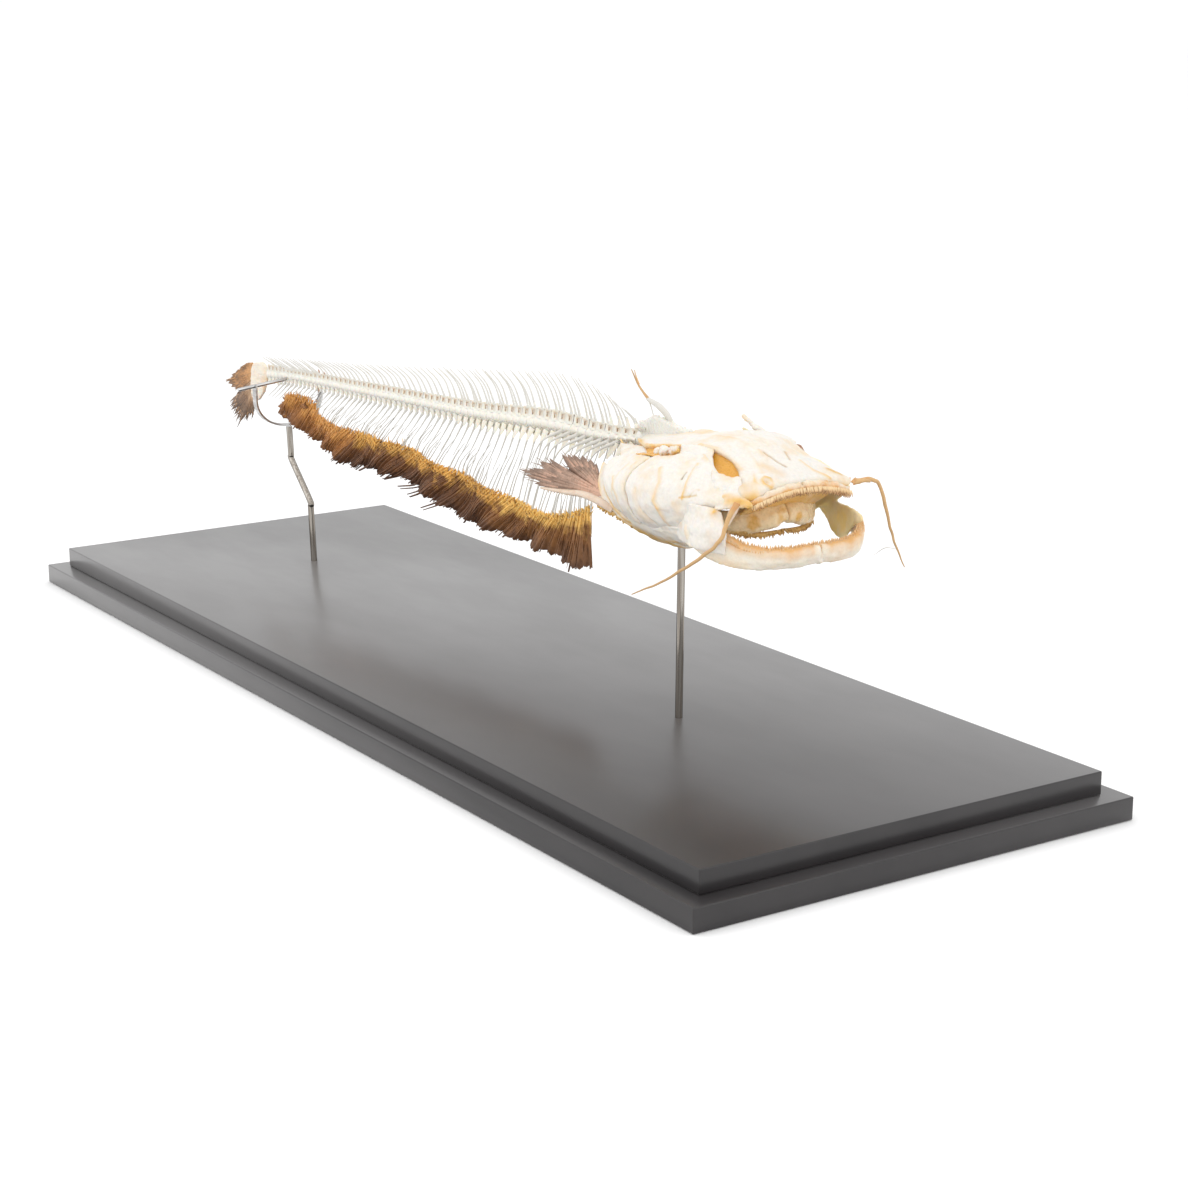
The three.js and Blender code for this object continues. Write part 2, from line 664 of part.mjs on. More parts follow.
// ---------------------------------------------------------------- side of the head
const headStations = [
  { x: 160, half: 44, middle: 156, up: 15, down: 31 },
  { x: 172, half: 48, middle: 156, up: 17.5, down: 32 },
  { x: 184, half: 50.5, middle: 156, up: 19.5, down: 33 },
  { x: 202, half: 51.5, middle: 155.6, up: 22.5, down: 32 },
  { x: 222, half: 50.5, middle: 155, up: 26, down: 27 },
  { x: 240, half: 47, middle: 156, up: 23.6, down: 22 },
  { x: 256, half: 42, middle: 157, up: 16, down: 18 },
  { x: 266, half: 37.5, middle: 157.4, up: 10, down: 14 },
  { x: 274, half: 33, middle: 157.6, up: 6, down: 9 },
];

// Point on the outside of the head at x and at an angle from straight up, on the right side.
function headPoint(x, degrees, inset = 0) {
  const [half, middle, up, down] = ['half', 'middle', 'up', 'down'].map((f) => along(headStations, f, x));
  const a = rad(degrees);
  const rise = Math.cos(a) > 0 ? up : down;
  return vec(x, -(half - inset) * Math.sin(a), middle + (rise - inset) * Math.cos(a));
}

// Patch of the head's side between four edges, each a short row of [x, angle] points.
function patch(edges, inset, thickness, columns, rows) {
  const curves = edges.map((row) => new THREE.SplineCurve(row.map(([x, a]) => new THREE.Vector2(x, a))));
  const [top, bottom, rear, front] = curves;
  return plate((u, v) => {
    const p = top.getPoint(u).multiplyScalar(1 - v).addScaledVector(bottom.getPoint(u), v);
    p.addScaledVector(rear.getPoint(v), 1 - u).addScaledVector(front.getPoint(v), u);
    p.addScaledVector(top.getPoint(0), -(1 - u) * (1 - v)).addScaledVector(top.getPoint(1), -u * (1 - v));
    p.addScaledVector(bottom.getPoint(0), -(1 - u) * v).addScaledVector(bottom.getPoint(1), -u * v);
    return headPoint(p.x, p.y, inset(u, v));
  }, thickness, columns, rows);
}

const cheekEdges = [
  [[208, 47.5], [216, 46.5], [222.5, 43], [230, 34.5], [238, 35], [246, 41], [254, 48], [263, 54]],
  [[206, 124], [217, 134], [230, 139], [240, 132], [249, 120], [258, 109]],
  [[208, 47.5], [204.6, 62], [202.6, 88], [206, 124]],
  [[263, 54], [266.4, 66], [266.4, 84], [258, 109]],
];

function cheek() {
  return patch(cheekEdges, (u, v) => 0.4 - 0.6 * Math.sin(3 * Math.PI * u) * Math.sin(Math.PI * v),
    (u, v) => 1.5 + 1.1 * Math.sin(Math.PI * v) * Math.sin(Math.PI * u), 8, 6);
}

const coverEdges = [
  [[170, 54], [182, 49], [194, 47.5], [206.4, 47.8]],
  [[186, 124], [195, 127], [204, 124]],
  [[170, 54], [174.6, 72], [178, 98], [186, 124]],
  [[206.4, 47.8], [203, 62], [201, 88], [204, 124]],
];

function gillCover() {
  return patch(coverEdges, (u) => 0.8 + 1.4 * (1 - u), (u) => 1 + 0.8 * u, 4, 6);
}

// Rays under the gill cover, as one ribbed fan that curves in towards the throat.
function gillRays() {
  return plate((u, v) => {
    const angle = lerp(124, 158, v);
    const ridge = 0.5 * Math.sin(u * Math.PI * 7) * Math.sin(Math.PI * v);
    return headPoint(lerp(188 + 2 * v, 240 - 6 * v, u), angle, 4 - ridge);
  }, () => 0.9, 9, 3);
}

// Upright bar inside the lower jaw, taller towards the middle, where it nears the palate.
const hyoidPlan = [
  vec(263.4, -0.4, 135.2), vec(262, -9, 134.6), vec(257, -18, 134.6), vec(249, -26, 136.4),
  vec(237, -26.8, 142.8), vec(224, -29, 145.4),
];
const hyoidHeights = [21, 20, 16.4, 10, 6.4, 5];

function hyoidArch() {
  const foot = new THREE.CatmullRomCurve3(hyoidPlan, false, 'centripetal');
  return plate((u, v) => {
    const k = u * (hyoidHeights.length - 1);
    const i = Math.min(Math.floor(k), hyoidHeights.length - 2);
    const height = lerp(hyoidHeights[i], hyoidHeights[i + 1], k - i);
    return foot.getPoint(u).add(vec(-0.14 * height * v ** 2 * 2, 0, height * v));
  }, (u, v) => 1.4 + 1.2 * Math.sin(Math.PI * v), 8, 3);
}

// Rear edge of the shoulder girdle from its upper end on the side to the middle of the throat.
const girdleEdge = [
  vec(169, -41.6, 162), vec(171.2, -45.6, 151), vec(176.4, -43.6, 142.2), vec(182.6, -38.4, 135),
  vec(186, -31, 129.8), vec(181, -20, 123.4), vec(171, -9, 118.8), vec(160, -0.5, 117.6),
];

function girdle() {
  const edge = new THREE.CatmullRomCurve3(girdleEdge, false, 'centripetal');
  return plate((u, v) => {
    const width = 2.6 + 3 * v + 25 * v ** 3;
    return edge.getPoint(v).add(vec(width * u, 1.4 * u * (1 - v), 1.2 * u * Math.sin(Math.PI * v)));
  }, (u, v) => 2.2 - 0.7 * v, 3, 10);
}

// Splint of bone that stands off the upper edge of the left cheek.
function splint() {
  return limb([vec(217, 36.4, 172.4), vec(201.6, 32.8, 173.8), vec(186.2, 31.8, 181.5)],
    [[1.3, 1.7], [1.3, 1.6], [1.1, 1.3]], 6, 3);
}

// Thin wing of the left cheek that runs down inside the rear end of the jaw.
function cheekWing() {
  const outline = [
    [235.7, 146.4], [235.7, 142], [241.3, 139.8], [249.3, 135.9], [254.7, 131.5], [262.4, 131],
    [268.8, 133.6], [273.6, 139], [278.3, 142], [285.5, 144.8], [285.4, 146.9], [276.6, 148.3],
    [270.8, 148.6], [261.6, 148.5], [246.1, 147.5],
  ];
  const [hinge, reach, turn] = [245, 41, 14];
  const shape = new THREE.Shape(outline.map(([x, z]) => new THREE.Vector2(x - hinge, z)));
  return new THREE.ExtrudeGeometry(shape, { depth: 1.4, bevelEnabled: false })
    .rotateX(Math.PI / 2).rotateZ(rad(-turn)).translate(hinge, reach, 0);
}

const barbelRight = [
  vec(272.6, -35.4, 159.6), vec(272.4, -40, 153.2), vec(271.8, -44, 143.5), vec(264.9, -47, 135.8),
  vec(252, -51, 126), vec(237, -55, 116.6), vec(221.4, -60, 108.5),
];
const barbelLeft = [
  vec(271.6, 35.4, 161.6), vec(274.6, 42, 162.2), vec(276.4, 47, 159.6), vec(278.3, 50, 147.3),
  vec(280.5, 53, 133.4), vec(284.9, 57, 118.9),
];

function barbel(points) {
  const sizes = [[1.7, 1.7], [1.1, 1.3], [0.9, 1.1], [0.8, 0.9], [0.6, 0.7], [0.35, 0.45]];
  return limb(points, sizes, 5, 12, vec(1, 0.3, 0));
}

function head() {
  neurocranium();
  frontVertebrae();
  place('upper_jaw_right', upperJaw(), 'bone');
  place('upper_jaw_left', mirrored(upperJaw()), 'bone');
  place('lower_jaw_right', lowerJaw(), 'bone');
  place('lower_jaw_left', mirrored(lowerJaw(leftRearSizes)), 'bone');
  place('cheek_right', cheek(), 'bone');
  place('cheek_left', join([mirrored(cheek()), splint(), cheekWing()]), 'bone');
  place('gill_cover_right', gillCover(), 'bone');
  place('gill_cover_left', mirrored(gillCover()), 'bone');
  place('gill_rays_right', gillRays(), 'bone');
  place('gill_rays_left', mirrored(gillRays()), 'bone');
  place('hyoid_arch_right', hyoidArch(), 'amber');
  place('hyoid_arch_left', mirrored(hyoidArch()), 'amber');
  place('shoulder_girdle_right', girdle(), 'bone');
  place('shoulder_girdle_left', mirrored(girdle()), 'bone');
  place('barbel_right', barbel(barbelRight), 'amber');
  place('barbel_left', barbel(barbelLeft), 'amber');
}

stand();
spineLengths();
analFin();
caudalFin();
dorsalFin();
pectoralFins();
head();

export default fish;
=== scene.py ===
import bpy
import math
import random
import numpy as np
from mathutils import Matrix, Vector, noise


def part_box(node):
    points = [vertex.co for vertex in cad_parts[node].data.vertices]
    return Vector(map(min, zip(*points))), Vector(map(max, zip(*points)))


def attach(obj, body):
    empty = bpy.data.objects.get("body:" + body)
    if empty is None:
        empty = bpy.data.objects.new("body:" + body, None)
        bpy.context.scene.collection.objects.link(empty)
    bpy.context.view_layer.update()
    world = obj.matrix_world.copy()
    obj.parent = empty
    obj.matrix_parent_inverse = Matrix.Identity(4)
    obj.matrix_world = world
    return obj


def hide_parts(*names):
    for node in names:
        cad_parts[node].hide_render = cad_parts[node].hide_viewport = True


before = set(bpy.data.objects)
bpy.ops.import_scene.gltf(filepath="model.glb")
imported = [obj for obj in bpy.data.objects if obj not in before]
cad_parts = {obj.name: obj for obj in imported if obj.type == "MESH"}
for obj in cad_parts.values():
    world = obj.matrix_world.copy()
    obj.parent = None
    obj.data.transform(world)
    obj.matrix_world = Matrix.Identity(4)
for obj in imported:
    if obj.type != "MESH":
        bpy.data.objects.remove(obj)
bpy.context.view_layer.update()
mm = 0.001
white = (1, 1, 1, 1)
bothHalves = (("right", -1), ("left", 1))
looks = {}


def deselectAll():
    for piece in list(bpy.context.selected_objects):
        piece.select_set(False)


def pick(piece):
    deselectAll()
    piece.select_set(True)
    bpy.context.view_layer.objects.active = piece


def applyModifiers(piece):
    pick(piece)
    for modifier in list(piece.modifiers):
        bpy.ops.object.modifier_apply(modifier=modifier.name)


def applyPlace(piece):
    pick(piece)
    bpy.ops.object.transform_apply(location=True, rotation=True, scale=True)


def addModifier(piece, kind, **settings):
    modifier = piece.modifiers.new(kind.lower(), kind)
    for key, value in settings.items():
        setattr(modifier, key, value)
    return modifier


def finishPiece(piece, name, look, nodes=(), smooth=60):
    piece.name = name
    piece.data.name = name
    piece.data.materials.clear()
    piece.data.materials.append(looks[look])
    pick(piece)
    bpy.ops.object.shade_smooth_by_angle(angle=math.radians(smooth))
    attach(piece, "root")
    if nodes:
        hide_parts(*nodes)
    return piece


def joinPieces(pieces):
    deselectAll()
    for piece in pieces:
        piece.select_set(True)
    bpy.context.view_layer.objects.active = pieces[0]
    bpy.ops.object.join()
    return bpy.context.object


# Value at x on a smooth curve through rows of (x, value).
def curveAt(rows, x):
    xs = [row[0] for row in rows]
    if x <= xs[0]:
        return rows[0][1]
    if x >= xs[-1]:
        return rows[-1][1]
    i = max(k for k in range(len(rows) - 1) if xs[k] <= x)
    slopes = []
    for k in (i, i + 1):
        before, after = rows[max(k - 1, 0)], rows[min(k + 1, len(rows) - 1)]
        slopes.append((after[1] - before[1]) / (after[0] - before[0]))
    span = xs[i + 1] - xs[i]
    t = (x - xs[i]) / span
    level = (2 * t**3 - 3 * t**2 + 1) * rows[i][1] + (3 * t**2 - 2 * t**3) * rows[i + 1][1]
    return level + span * ((t**3 - 2 * t**2 + t) * slopes[0] + (t**3 - t**2) * slopes[1])


def mix(a, b, t):
    return a + (b - a) * t


# Points on a smooth path through the given points, at each share of its run.
def pathAt(points, shares):
    points = np.asarray(points, float)
    last = len(points) - 1
    k = np.clip(np.asarray(shares) * last, 0, last - 1e-6)
    i = k.astype(int)
    t = (k - i)[:, None]
    p1, p2 = points[i], points[i + 1]
    p0 = np.where((i > 0)[:, None], points[np.maximum(i - 1, 0)], 2 * p1 - p2)
    p3 = np.where((i + 2 <= last)[:, None], points[np.minimum(i + 2, last)], 2 * p2 - p1)
    return 0.5 * (2 * p1 + (p2 - p0) * t + (2 * p0 - 5 * p1 + 4 * p2 - p3) * t**2
                  + (3 * p1 - p0 - 3 * p2 + p3) * t**3)


def spotAt(points, share):
    return pathAt(points, [share])[0]


def setMode(mode):
    bpy.ops.object.mode_set(mode=mode)


def editAll(piece):
    pick(piece)
    setMode("EDIT")
    bpy.ops.mesh.select_all(action="SELECT")


def turnOutward(piece):
    editAll(piece)
    bpy.ops.mesh.normals_make_consistent(inside=False)
    setMode("OBJECT")
    return piece


def readForm(piece):
    corners = np.array([corner.co for corner in piece.data.vertices])
    faces = [tuple(face.vertices) for face in piece.data.polygons]
    bpy.data.objects.remove(piece)
    return corners, faces


# One round rod is modelled once and laid along every spine, ray, rib and feeler.
def modelRod(sides, rings):
    deselectAll()
    bpy.ops.mesh.primitive_cylinder_add(vertices=sides, radius=1, depth=1, location=(0, 0, 0.5))
    rod = bpy.context.object
    bpy.ops.object.transform_apply(location=True)
    setMode("EDIT")
    for k in range(1, rings):
        bpy.ops.mesh.select_all(action="SELECT")
        bpy.ops.mesh.bisect(plane_co=(0, 0, k / rings), plane_no=(0, 0, 1))
    setMode("OBJECT")
    return readForm(rod)


rodFine, rodThin = modelRod(8, 12), modelRod(5, 4)


def newHeap():
    return {"corners": [], "faces": [], "count": 0, "along": [], "tone": []}


def heapUp(heap, corners, faces, along, tone):
    heap["corners"].append(corners)
    heap["faces"] += [tuple(k + heap["count"] for k in face) for face in faces]
    heap["count"] += len(corners)
    heap["along"].append(along)
    heap["tone"].append(np.full(len(corners), tone))


# Lays the rod along points, all in millimetres; widths and depths are half sizes from root to tip.
def layRod(heap, form, points, widths, depths=None, tone=0.5, shares=(0, 1)):
    corners, faces = form
    share = np.clip(corners[:, 2], 0, 1)
    centre = pathAt(points, share)
    ahead = pathAt(points, np.clip(share + 0.02, 0, 1)) - pathAt(points, np.clip(share - 0.02, 0, 1))
    ahead /= np.linalg.norm(ahead, axis=1)[:, None] + 1e-9
    up = np.cross(ahead, (0.0, 1.0, 0.0))
    up /= np.linalg.norm(up, axis=1)[:, None] + 1e-9
    across = np.cross(up, ahead)
    width, depth = [np.interp(share, np.linspace(0, 1, len(sizes)), sizes)
                    for sizes in (widths, depths or widths)]
    placed = centre + across * (corners[:, 0] * width)[:, None] + up * (corners[:, 1] * depth)[:, None]
    heapUp(heap, placed, faces, mix(*shares, share), tone)


# A tooth, fringe or splinter from its root to its tip, bent at the middle.
def layTooth(heap, root, tip, widths, bend=(0, 0, 0), **more):
    layRod(heap, rodThin, [root, (root + tip) / 2 + bend, tip], widths, **more)


def setAttribute(piece, name, values):
    attribute = piece.data.attributes.get(name) or piece.data.attributes.new(name, "FLOAT", "POINT")
    attribute.data.foreach_set("value", np.asarray(values, np.float32))


def pieceFrom(heap):
    mesh = bpy.data.meshes.new("strands")
    mesh.from_pydata((np.concatenate(heap["corners"]) * mm).tolist(), [], heap["faces"])
    piece = bpy.data.objects.new("strands", mesh)
    bpy.context.scene.collection.objects.link(piece)
    setAttribute(piece, "along", np.concatenate(heap["along"]))
    setAttribute(piece, "tone", np.concatenate(heap["tone"]))
    return turnOutward(piece)


# A piece of rods; a row gives the points, the half widths and, where they differ, half depths and tone.
def rodPiece(form, *rows):
    heap = newHeap()
    for row in rows:
        layRod(heap, form, *row)
    return pieceFrom(heap)


# A flat grid laid over a surface in millimetres, then given a thickness.
def laySheet(surface, columns, rows, thickness):
    deselectAll()
    bpy.ops.mesh.primitive_grid_add(x_subdivisions=columns, y_subdivisions=rows, size=1)
    sheet = bpy.context.object
    corners = np.array([corner.co for corner in sheet.data.vertices])
    u, v = corners[:, 0] + 0.5, corners[:, 1] + 0.5
    placed = np.array([surface(a, b) for a, b in zip(u, v)]) * mm
    sheet.data.vertices.foreach_set("co", placed.ravel())
    setAttribute(sheet, "along", v)
    setAttribute(sheet, "tone", u)
    addModifier(sheet, "SOLIDIFY", thickness=thickness * mm, offset=0)
    applyModifiers(sheet)
    return sheet


def addNode(tree, kind, inputs=None, **settings):
    node = tree.nodes.new(kind)
    for key, value in settings.items():
        setattr(node, key, value)
    for key, value in (inputs or {}).items():
        if isinstance(value, bpy.types.NodeSocket):
            tree.links.new(value, node.inputs[key])
        else:
            node.inputs[key].default_value = value
    return node


# Every group puts out a colour, a roughness and a height.
def newGroup(name, inputs):
    group = bpy.data.node_groups.new(name, "ShaderNodeTree")
    kinds = {1: "NodeSocketFloat", 3: "NodeSocketVector", 4: "NodeSocketColor"}
    for label, value in inputs.items():
        socket = group.interface.new_socket(label, in_out="INPUT", socket_type=kinds[np.size(value)])
        socket.default_value = value
    for label, size in (("Color", 4), ("Roughness", 1), ("Height", 1)):
        group.interface.new_socket(label, in_out="OUTPUT", socket_type=kinds[size])
    return group, group.nodes.new("NodeGroupInput").outputs


def closeGroup(group, *values):
    result = group.nodes.new("NodeGroupOutput").inputs
    for label, value in zip(("Color", "Roughness", "Height"), values):
        group.links.new(value, result[label])
    return group


def mapRange(tree, value, low, high, to=(0.0, 1.0)):
    inputs = {"Value": value, "From Min": low, "From Max": high, "To Min": to[0], "To Max": to[1]}
    return addNode(tree, "ShaderNodeMapRange", inputs).outputs[0]


def mixColours(tree, share, a, b, blend="MIX"):
    node = addNode(tree, "ShaderNodeMix", {0: share, 6: a, 7: b}, data_type="RGBA", blend_type=blend)
    return node.outputs[2]


def calc(tree, operation, a, b=0.0):
    return addNode(tree, "ShaderNodeMath", {0: a, 1: b}, operation=operation).outputs[0]


def cloudNode(tree, place, scale, detail):
    return addNode(tree, "ShaderNodeTexNoise", {"Vector": place, "Scale": scale, "Detail": detail}).outputs[0]


def attributeNode(tree, name):
    return addNode(tree, "ShaderNodeAttribute", attribute_name=name).outputs["Fac"]


def shadeColour(tree, colour, shade):
    shades = addNode(tree, "ShaderNodeCombineColor", {0: shade, 1: shade, 2: shade}).outputs[0]
    return mixColours(tree, 1.0, colour, shades, "MULTIPLY")


# Dry bone: a clouded tint, painted stains and brown marks, fine grain and small pits.
def buildBoneGroup():
    group, given = newGroup("dryBone", {
        "Bone": white, "Tint": white, "Stain": white, "Brown": white, "Scale": 100.0, "Gloss": 0.45,
        "Stained": 0.0, "Marked": 0.0})
    place = addNode(group, "ShaderNodeTexCoord").outputs["Object"]
    clouds = cloudNode(group, place, given["Scale"], 5.0)
    grain = cloudNode(group, place, calc(group, "MULTIPLY", given["Scale"], 9.0), 4.0)
    pitScale = calc(group, "MULTIPLY", given["Scale"], 14.0)
    pits = addNode(group, "ShaderNodeTexVoronoi", {"Vector": place, "Scale": pitScale}).outputs[0]
    tinted = calc(group, "MULTIPLY", mapRange(group, clouds, 0.5, 0.72), 0.55)
    colour = mixColours(group, tinted, given["Bone"], given["Tint"])
    stained = calc(group, "MULTIPLY", given["Stained"], mapRange(group, clouds, 0.2, 0.6, (0.55, 1.15)))
    colour = mixColours(group, stained, colour, given["Stain"])
    marked = calc(group, "MULTIPLY", given["Marked"], mapRange(group, grain, 0.3, 0.6, (0.5, 1.1)))
    colour = mixColours(group, marked, colour, given["Brown"])
    colour = shadeColour(group, colour, mapRange(group, grain, 0.25, 0.75, (0.93, 1.04)))
    rough = calc(group, "ADD", given["Gloss"], mapRange(group, grain, 0.3, 0.7, (-0.06, 0.1)))
    height = calc(group, "ADD", calc(group, "MULTIPLY", grain, 0.6),
                  mapRange(group, pits, 0.0, 0.35, (-0.5, 0.0)))
    return closeGroup(group, colour, rough, height)


# Dried skin and rays: colour runs from root to tip, with darker strands and flecks.
def buildRayGroup():
    group, given = newGroup("driedRays", {
        "Root": white, "Middle": white, "Tip": white, "Turn": 0.4, "Flecks": 0.5, "Scale": 300.0})
    place = addNode(group, "ShaderNodeTexCoord").outputs["Object"]
    clouds = cloudNode(group, place, given["Scale"], 6.0)
    shift = mapRange(group, clouds, 0.25, 0.75, (-0.24, 0.24))
    run = calc(group, "ADD", attributeNode(group, "along"), shift)
    low = calc(group, "SUBTRACT", given["Turn"], 0.28)
    colour = mixColours(group, mapRange(group, run, low, given["Turn"]), given["Root"], given["Middle"])
    colour = mixColours(group, mapRange(group, run, given["Turn"], 0.98), colour, given["Tip"])
    wander = addNode(group, "ShaderNodeTexWhiteNoise", {"W": attributeNode(group, "tone")},
                     noise_dimensions="1D").outputs[0]
    shaded = shadeColour(group, colour, mapRange(group, wander, 0.0, 1.0, (0.6, 1.35)))
    colour = mixColours(group, given["Flecks"], colour, shaded)
    fine = cloudNode(group, place, calc(group, "MULTIPLY", given["Scale"], 4.0), 3.0)
    dark = calc(group, "MULTIPLY", mapRange(group, fine, 0.52, 0.7), given["Flecks"])
    colour = mixColours(group, dark, colour, given["Tip"])
    return closeGroup(group, colour, mapRange(group, fine, 0.3, 0.7, (0.4, 0.7)), fine)


# Made surfaces: fine drawn-out streaks between a light and a dark tone.
def buildMadeGroup():
    group, given = newGroup("madeSurface", {"Light": white, "Dark": white, "Grain": (1, 1, 1), "Rough": 0.3})
    place = addNode(group, "ShaderNodeTexCoord").outputs["Object"]
    drawn = addNode(group, "ShaderNodeVectorMath", {0: place, 1: given["Grain"]}, operation="MULTIPLY")
    streaks = cloudNode(group, drawn.outputs[0], 1.0, 5.0)
    share = mapRange(group, streaks, 0.35, 0.65)
    colour = mixColours(group, share, given["Light"], given["Dark"])
    rough = calc(group, "ADD", given["Rough"], calc(group, "MULTIPLY", share, 0.06))
    return closeGroup(group, colour, rough, streaks)


# A row gives the inputs of the group in their order.
def newMaterial(name, group, row, relief, shader, attributes):
    material = bpy.data.materials.new(name)
    material.use_nodes = True
    tree = material.node_tree
    principled = tree.nodes["Principled BSDF"].inputs
    for key, value in shader.items():
        principled[key].default_value = value
    surface = addNode(tree, "ShaderNodeGroup", node_tree=group)
    for socket, value in zip(surface.inputs, row):
        socket.default_value = (*value, 1) if socket.type == "RGBA" else value
    for key, attribute in attributes.items():
        tree.links.new(attributeNode(tree, attribute), surface.inputs[key])
    bump = addNode(tree, "ShaderNodeBump", {"Height": surface.outputs["Height"], "Strength": relief,
                                            "Distance": 0.4 * mm})
    tree.links.new(surface.outputs["Color"], principled["Base Color"])
    tree.links.new(surface.outputs["Roughness"], principled["Roughness"])
    tree.links.new(bump.outputs[0], principled["Normal"])
    return material


# Paints another tone into a material's colour where the surface turns away from the eye; this is painted
# light that follows the view, not a colour of the thing.
def paintGrazingShadeAndSheen(material, colour):
    tree = material.node_tree
    base = tree.nodes["Principled BSDF"].inputs["Base Color"]
    plain = base.links[0].from_socket
    facing = addNode(tree, "ShaderNodeLayerWeight", {"Blend": 0.5}).outputs["Facing"]
    tree.links.new(mixColours(tree, mapRange(tree, facing, 0.45, 0.75), plain, colour), base)


# Bone, tint, stain and brown, then scale, gloss and relief.
boneLooks = {
    "skullBone": ((0.80, 0.768, 0.715), (0.81, 0.71, 0.54), (0.80, 0.50, 0.15), (0.16, 0.08, 0.04),
                  70, 0.42, 0.25),
    "jawBone": ((0.83, 0.77, 0.66), (0.82, 0.66, 0.42), (0.76, 0.42, 0.15), (0.20, 0.09, 0.04),
                110, 0.38, 0.3),
    "spineBone": ((0.87, 0.84, 0.77), (0.82, 0.75, 0.62), (0.72, 0.62, 0.42), (0.50, 0.34, 0.22),
                  160, 0.45, 0.25),
    "thinBone": ((0.69, 0.67, 0.62), (0.64, 0.58, 0.47), (0.52, 0.42, 0.28), (0.20, 0.14, 0.10),
                 120, 0.35, 0.1),
    "crestBone": ((0.79, 0.78, 0.73), (0.76, 0.70, 0.56), (0.70, 0.50, 0.25), (0.25, 0.16, 0.08),
                  130, 0.35, 0.2),
    "amberSkin": ((0.80, 0.39, 0.045), (0.84, 0.50, 0.11), (0.60, 0.26, 0.05), (0.22, 0.08, 0.02),
                  120, 0.3, 0.3),
    "archBone": ((0.90, 0.72, 0.47), (0.84, 0.60, 0.30), (0.78, 0.46, 0.12), (0.20, 0.10, 0.05),
                 90, 0.28, 0.25),
    "palateSkin": ((0.82, 0.50, 0.16), (0.88, 0.68, 0.36), (0.62, 0.28, 0.06), (0.22, 0.08, 0.02),
                   130, 0.32, 0.35),
    "spineStiff": ((0.74, 0.60, 0.48), (0.62, 0.40, 0.26), (0.70, 0.50, 0.30), (0.20, 0.11, 0.06),
                   160, 0.45, 0.25),
    "oliveBone": ((0.88, 0.82, 0.62), (0.86, 0.74, 0.40), (0.82, 0.62, 0.22), (0.52, 0.27, 0.05),
                  70, 0.42, 0.3)}
# Root, middle and tip, then the turn of the tones, flecks, scale and relief.
rayLooks = {
    "rearRays": ((0.70, 0.34, 0.085), (0.44, 0.18, 0.04), (0.22, 0.085, 0.025), 0.45, 0.5, 130, 0.5),
    "middleRays": ((0.80, 0.44, 0.10), (0.25, 0.10, 0.03), (0.09, 0.038, 0.018), 0.38, 0.5, 130, 0.5),
    "foreRays": ((0.82, 0.45, 0.10), (0.22, 0.09, 0.028), (0.10, 0.042, 0.02), 0.34, 0.5, 130, 0.5),
    "frontRays": ((0.88, 0.54, 0.14), (0.31, 0.13, 0.035), (0.12, 0.05, 0.02), 0.42, 0.5, 130, 0.5),
    "rakerSkin": ((0.80, 0.58, 0.28), (0.66, 0.42, 0.14), (0.42, 0.22, 0.06), 0.4, 0.35, 240, 0.3),
    "barbelSkin": ((0.62, 0.30, 0.11), (0.64, 0.40, 0.18), (0.52, 0.33, 0.16), 0.25, 0.35, 240, 0.3),
    "greyRays": ((0.56, 0.34, 0.24), (0.45, 0.29, 0.21), (0.22, 0.14, 0.10), 0.55, 0.5, 160, 0.5),
    "tailRays": ((0.60, 0.31, 0.12), (0.48, 0.24, 0.09), (0.22, 0.12, 0.06), 0.55, 0.5, 200, 0.5),
    "darkTail": ((0.52, 0.32, 0.18), (0.32, 0.19, 0.11), (0.12, 0.075, 0.05), 0.5, 0.5, 200, 0.5),
    "upperTeeth": ((0.86, 0.66, 0.40), (0.80, 0.54, 0.28), (0.34, 0.15, 0.06), 0.6, 0.1, 240, 0.2),
    "lowerTeeth": ((0.66, 0.34, 0.12), (0.78, 0.50, 0.24), (0.74, 0.52, 0.30), 0.5, 0.5, 240, 0.2)}
# Light and dark, then the grain, roughness and relief.
madeLooks = {
    "strapSteel": ((0.66, 0.66, 0.66), (0.42, 0.41, 0.40), (60, 60, 400), 0.28, 0.05),
    "boardLacquer": ((0.022, 0.019, 0.020), (0.015, 0.013, 0.014), (12, 30, 30), 0.28, 0.02),
    "rodSteel": ((0.43, 0.40, 0.36), (0.22, 0.19, 0.16), (900, 900, 14), 0.1, 0.03),
    "floorWhite": ((1, 1, 1), (0.99, 0.99, 0.99), (3, 3, 3), 0.9, 0.0)}
softBone = {"Subsurface Weight": 0.25, "Subsurface Scale": 0.002, "Subsurface Radius": (1.0, 0.6, 0.35)}
ownShader = {"thinBone": {}, "strapSteel": {"Metallic": 1.0}, "rodSteel": {"Metallic": 1.0},
             "boardLacquer": {"IOR": 1.45, "Coat Weight": 0.3, "Coat Roughness": 0.24}}
painted = {"Stained": "stained", "Marked": "marked"}
ownAttributes = {"spineBone": {"Stained": "tone", "Marked": "along"}, "thinBone": {}, "palateSkin": {},
                 "spineStiff": {}}
for group, rows, shader, attributes in ((buildBoneGroup(), boneLooks, softBone, painted),
                                        (buildRayGroup(), rayLooks, {}, {}),
                                        (buildMadeGroup(), madeLooks, {}, {})):
    for name, (*row, relief) in rows.items():
        looks[name] = newMaterial(name, group, row, relief, ownShader.get(name, shader),
                                  ownAttributes.get(name, attributes))
# Rods: a painted dark shade along their edges, where they turn away from the eye.
paintGrazingShadeAndSheen(looks["rodSteel"], (0.05, 0.04, 0.035, 1))
# Board: a painted pale sheen where the top is seen at a grazing angle, standing in for the reflection of the
# pale room.
paintGrazingShadeAndSheen(looks["boardLacquer"], (0.115, 0.11, 0.11, 1))
print("materials ready")


